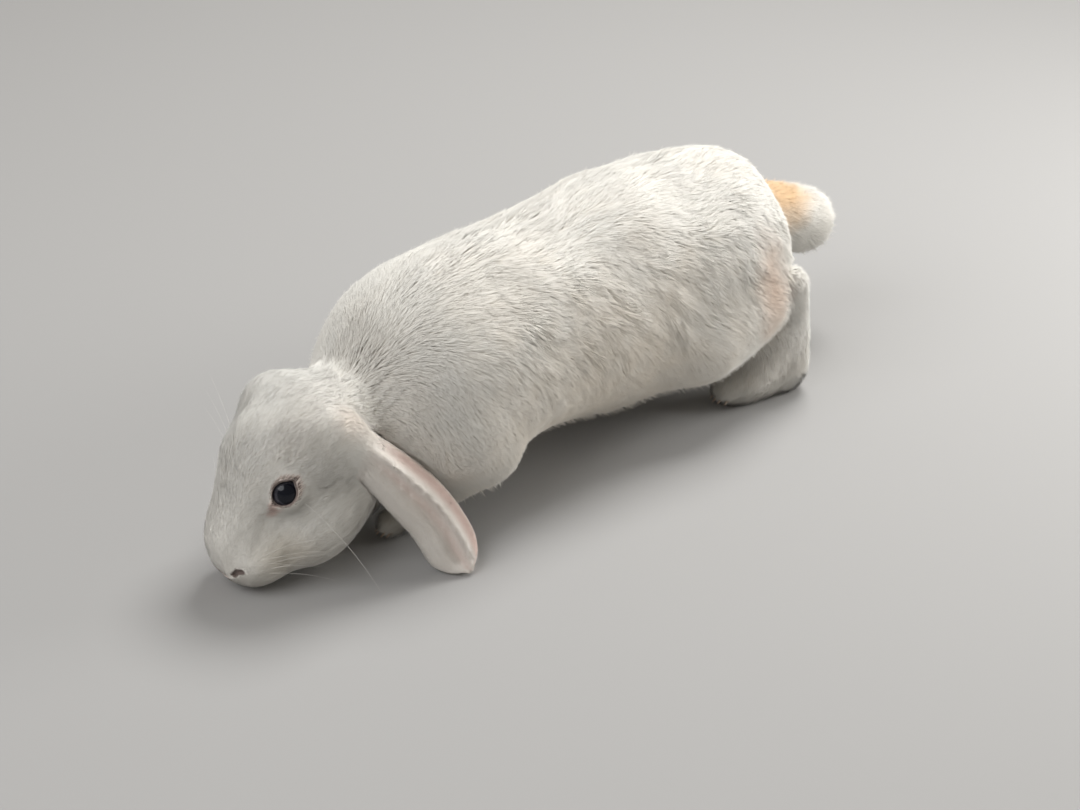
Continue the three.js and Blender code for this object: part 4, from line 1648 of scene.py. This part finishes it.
@dataclass(frozen=True)
class Spikes:
    """Bent, tapered spikes that stand on points: whiskers or claws. The radius and the bend are
    shares of a spike's length.
    """

    name: str
    slot: str
    radius: float
    bend: float
    sides: int
    steps: int

    def _tree(self) -> bpy.types.NodeTree:
        """Returns: the tree that stands one spike on every point, along its aim."""
        tree = bpy.data.node_groups.new(f"{self.name}_spikes", "GeometryNodeTree")
        kinds = {"Geometry": "Geometry", "Radius": "Float", "Bend": "Float", "Sides": "Int"}
        kinds |= {"Steps": "Int", "Material": "Material"}
        for label, kind in kinds.items():
            tree.interface.new_socket(label, in_out="INPUT", socket_type=f"NodeSocket{kind}")
        tree.interface.new_socket("Geometry", in_out="OUTPUT", socket_type="NodeSocketGeometry")
        t = Tree(tree)
        given = t.node("NodeGroupInput").outputs

        def kept(name: str, kind: str) -> Socket:
            """What is kept on the points under a name."""
            inputs = {"Name": name}
            return t.node("GeometryNodeInputNamedAttribute", inputs, data_type=kind).outputs[0]

        line = t.node("GeometryNodeCurvePrimitiveLine", {"End": (0, 0, 1)}).outputs[0]
        steps = t.node("GeometryNodeResampleCurve", {"Curve": line, "Count": given["Steps"]})
        place = t.node("GeometryNodeInputPosition").outputs[0]
        along = t.node("ShaderNodeSeparateXYZ", {0: place}).outputs["Z"]
        aside = t.math("MULTIPLY", t.math("MULTIPLY", along, along), given["Bend"])
        offset = t.node("ShaderNodeCombineXYZ", {"X": aside}).outputs[0]
        bent = t.node("GeometryNodeSetPosition", {"Geometry": steps.outputs[0], "Offset": offset})
        taper = t.math("POWER", t.math("SUBTRACT", 1.02, along), 0.7)
        girth = t.math("MULTIPLY", taper, given["Radius"])
        circle = {"Resolution": given["Sides"], "Radius": 1.0}
        ring = t.node("GeometryNodeCurvePrimitiveCircle", circle).outputs[0]
        parts = {"Curve": bent.outputs[0], "Profile Curve": ring, "Scale": girth, "Fill Caps": True}
        solid = t.node("GeometryNodeCurveToMesh", parts).outputs[0]
        aim, sag = kept("aim", "FLOAT_VECTOR"), kept("sag", "FLOAT_VECTOR")
        align = "FunctionNodeAlignRotationToVector"
        turned = t.node(align, {"Vector": aim}, axis="Z").outputs[0]
        inputs = {"Rotation": turned, "Vector": sag}
        turned = t.node(align, inputs, axis="X", pivot_axis="Z").outputs[0]
        stand = {"Points": given["Geometry"], "Instance": solid, "Rotation": turned}
        stand["Scale"] = kept("reach", "FLOAT")
        stood = t.node("GeometryNodeInstanceOnPoints", stand).outputs[0]
        real = t.node("GeometryNodeRealizeInstances", {"Geometry": stood}).outputs[0]
        dress = {"Geometry": real, "Material": given["Material"]}
        done = t.node("GeometryNodeSetMaterial", dress).outputs[0]
        t.node("NodeGroupOutput", {"Geometry": done})
        return tree

    def build(
        self,
        bench: Bench,
        material: bpy.types.Material,
        roots: Array,
        aims: Array,
        sags: Array,
        reaches: Array,
    ) -> None:
        """Stands the spikes.

        Args: bench: where pieces are made. material: their finish. roots: where they stand, in
        millimetres. aims, sags: the ways they set off and bend. reaches: their lengths.
        """
        mesh = bpy.data.meshes.new(self.name)
        mesh.vertices.add(len(roots))
        mesh.vertices.foreach_set("co", ((roots + bench.shift) * MM).ravel())
        for key, table in (("aim", aims), ("sag", sags)):
            layer = mesh.attributes.new(key, "FLOAT_VECTOR", "POINT")
            layer.data.foreach_set("vector", table.ravel())
        mesh.attributes.new("reach", "FLOAT", "POINT").data.foreach_set("value", reaches * MM)
        obj = linked(self.name, mesh)
        modifier = obj.modifiers.new(self.name, "NODES")
        modifier.node_group = self._tree()
        given = {
            "Radius": self.radius,
            "Bend": self.bend,
            "Sides": self.sides,
            "Steps": self.steps,
            "Material": material,
        }
        for item in modifier.node_group.interface.items_tree:
            if item.name in given:
                modifier[item.identifier] = given[item.name]
        graph = bpy.context.evaluated_depsgraph_get()
        made = bpy.data.meshes.new_from_object(obj.evaluated_get(graph), depsgraph=graph)
        made.name = self.name
        obj.modifiers.remove(modifier)
        obj.data = made
        made.shade_smooth()
        bench.place(obj, self.slot)


@dataclass
class Trimmings:
    """Where the whiskers and the claws stand. Lengths are in millimetres."""

    anatomy: Anatomy
    whisker: Spikes = Spikes("whiskers", "whisker", 0.0017, 0.22, 5, 12)
    pad_rows: int = 3
    cheek_whisker: float = 54.0
    brow_whiskers: int = 3
    claw: Spikes = Spikes("claws", "claw", 0.17, 0.25, 8, 7)
    toes: int = 4
    hind_claw: float = 5.2
    fore_claw: float = 4.6

    def whiskers(self, bench: Bench, material: bpy.types.Material) -> None:
        """Args: bench: where pieces are made. material: the whiskers' finish."""
        rng = np.random.default_rng(41)
        roots, aims, reaches = [], [], []
        for side in Side:
            for row in range(self.pad_rows):
                for place in range(1, 4):
                    at = (6.0 + 3.2 * place, 17.0 + 0.9 * place, 2.5 - 3.4 * row - 0.4 * place)
                    aim = np.array([0.55 + 0.1 * place, 0.75, 0.16 - 0.22 * row])
                    roots.append(side.bring(at))
                    aims.append(side.bring(unit(aim + rng.normal(size=3) * 0.07)))
                    reaches.append(rng.uniform(20, 32) + 4 * place)
            roots.append(side.bring((47.0, 29.0, 3.0)))
            aims.append(unit(side.bring((-0.12, 0.7, -0.7))))
            reaches.append(self.cheek_whisker)
            for number in range(self.brow_whiskers):
                roots.append(side.bring((47.0 + 3 * number, 22.0, 22.5)))
                aims.append(unit(side.bring((0.5 + 0.1 * number, 0.7, 0.5))))
                reaches.append(24.0 + 4 * number)
        points = self.anatomy.settle(self.anatomy.from_head(np.array(roots)), -0.2)
        ways = np.array(aims) @ self.anatomy.turn.T
        sags = np.tile([0.0, 0.0, -1.0], (len(points), 1))
        self.whisker.build(bench, material, points, ways, sags, np.array(reaches))

    def claws(self, bench: Bench, material: bpy.types.Material) -> None:
        """Args: bench: where pieces are made. material: the claws' finish."""
        roots, reaches = [], []
        feet = ((self.anatomy.hindfoot, self.hind_claw), (self.anatomy.forepaw, self.fore_claw))
        for side in Side:
            for limb, reach in feet:
                x, y, _ = limb.end
                for number in range(self.toes):
                    off = (number - (self.toes - 1) / 2) * limb.end_radius * 0.42
                    back = 0.35 * abs(off)
                    roots.append((x - limb.end_radius + 2.0 + back, side.value * y + off, 4.6))
                    reaches.append(reach)
        points = self.anatomy.settle(np.array(roots, float), -0.6)
        aims = np.tile(unit(np.array([-1.0, 0.0, -0.16])), (len(points), 1))
        sags = np.tile([0.0, 0.0, -1.0], (len(points), 1))
        self.claw.build(bench, material, points, aims, sags, np.array(reaches))


# ---- The room ------------------------------------------------------------------------------------
@dataclass(frozen=True)
class Lamp:
    """A round soft lamp: which way it stands from the animal, how far off, its size and watts."""

    name: str
    way: Place
    away: float
    size: float
    power: float
    color: Rgb

    def light(self) -> None:
        """Stands the lamp so that it shines on the animal."""
        data = bpy.data.lights.new(self.name, "AREA")
        data.shape = "DISK"
        data.size = self.size
        data.energy = self.power
        data.color = self.color
        obj = linked(self.name, data)
        spot = Vector(self.way).normalized() * self.away
        obj.location = spot + Vector((0, 0, 0.07))
        obj.rotation_euler = (-spot).to_track_quat("-Z", "Y").to_euler()


@dataclass
class Studio:
    """A pale floor, soft light and the camera."""

    shift: Array
    eye_point: Place = (-624.5, -743.0, 620.0)
    azimuth: float = -48.0
    dip: float = 28.2
    roll: float = 1.9
    lens: float = 80.0
    floor: Rgb = (0.37, 0.365, 0.36)
    floor_radius: float = 6.0
    floor_sides: int = 96
    world: float = 0.275
    world_color: Rgb = (1.0, 0.95, 0.87)
    lamps: tuple[Lamp, ...] = (
        Lamp("key", (0.52, 0.1, 1.0), 1.7, 0.9, 27.0, (1.0, 0.995, 0.98)),  # over the rump
        Lamp("fill", (-0.9, 0.0, 0.8), 2.2, 1.6, 24.0, (0.97, 0.98, 1.0)),  # over the nose
        Lamp("low", (0.95, -0.55, 0.3), 0.95, 0.5, 5.0, (1.0, 0.99, 0.97)),  # behind the legs
    )

    def camera(self) -> None:
        """Stands the camera in front of the animal's left side, looking down on it."""
        data = bpy.data.cameras.new("camera")
        data.lens = self.lens
        data.sensor_width = 36.0
        data.clip_end = 50.0
        obj = linked("camera", data)
        look = Euler((math.radians(90 - self.dip), 0, math.radians(self.azimuth))).to_matrix()
        tilt = Matrix.Rotation(math.radians(self.roll), 3, "Z")
        obj.matrix_world = (look @ tilt).to_4x4()
        obj.location = Vector((np.array(self.eye_point) + self.shift) * MM)
        bpy.context.scene.camera = obj

    def light(self) -> None:
        """Stands the lamps and lights the room evenly."""
        for lamp in self.lamps:
            lamp.light()
        world = bpy.data.worlds.new("room")
        world.use_nodes = True
        background = world.node_tree.nodes["Background"]
        background.inputs["Color"].default_value = (*self.world_color, 1.0)
        background.inputs["Strength"].default_value = self.world
        bpy.context.scene.world = world

    def ground(self) -> None:
        """A wide pale floor."""
        mesh = bpy.data.meshes.new("floor")
        angles = np.linspace(0, 2 * math.pi, self.floor_sides, endpoint=False)
        reach = self.floor_radius
        rim = [(reach * math.cos(a), reach * math.sin(a), 0) for a in angles]
        mesh.from_pydata(rim, [], [tuple(range(self.floor_sides))])
        made, t, shader = new_material("floor")
        t.feed(shader, {"Base Color": (*self.floor, 1.0), "Roughness": 0.85})
        mesh.materials.append(made)
        linked("floor", mesh)


def frame_shift(anatomy: Anatomy) -> Array:
    """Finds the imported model's frame from its eyes.

    Returns: the move from the anatomy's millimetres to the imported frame's.
    """
    found = []
    for side in Side:
        low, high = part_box(f"eye_{side.name.lower()}")
        packed = np.array((low + high) / 2) / MM
        found.append(packed - anatomy.from_head(side.bring(anatomy.eye.at)[None])[0])
    return np.mean(found, axis=0)


def main() -> None:
    logging.basicConfig(level=logging.INFO, format="%(relativeCreated)6d %(message)s")
    bpy.context.scene.view_settings.view_transform = "Standard"
    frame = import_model()
    anatomy = Anatomy()
    shift = frame_shift(anatomy)
    LOG.info("shift %s", shift)
    bench = Bench(shift)
    markings = Markings().group(shift)
    flesh = FleshFinish("short_skin_fur", 0.62, 0.25, 0.35, 900.0, pink=0.05).material(markings)
    hair = FleshFinish("soft_hair", 0.6, 0.3, 0.1, 1500.0).material(markings)
    nodes = tuple(name for name in frame["nodes"] if not name.startswith("eye_"))
    skin = Skin(anatomy, nodes=nodes)
    skin.shape()
    LOG.info("skin: %d points, %d triangles", len(skin.points), len(skin.faces))
    skin.build(bench, flesh)
    Eyes(anatomy).build(bench, EyeFinish().material(anatomy.eye))
    Coat(anatomy, skin).build(bench, hair)
    horn = HornFinish("horn", (0.62, 0.50, 0.40), (0.40, 0.30, 0.23), 0.35, 600.0)
    bristle = HornFinish("bristle", (0.90, 0.88, 0.84), (0.78, 0.74, 0.68), 0.4, 300.0)
    trimmings = Trimmings(anatomy)
    trimmings.whiskers(bench, bristle.material())
    trimmings.claws(bench, horn.material())
    studio = Studio(shift)
    studio.camera()
    studio.light()
    studio.ground()


if __name__ == "__main__":
    main()
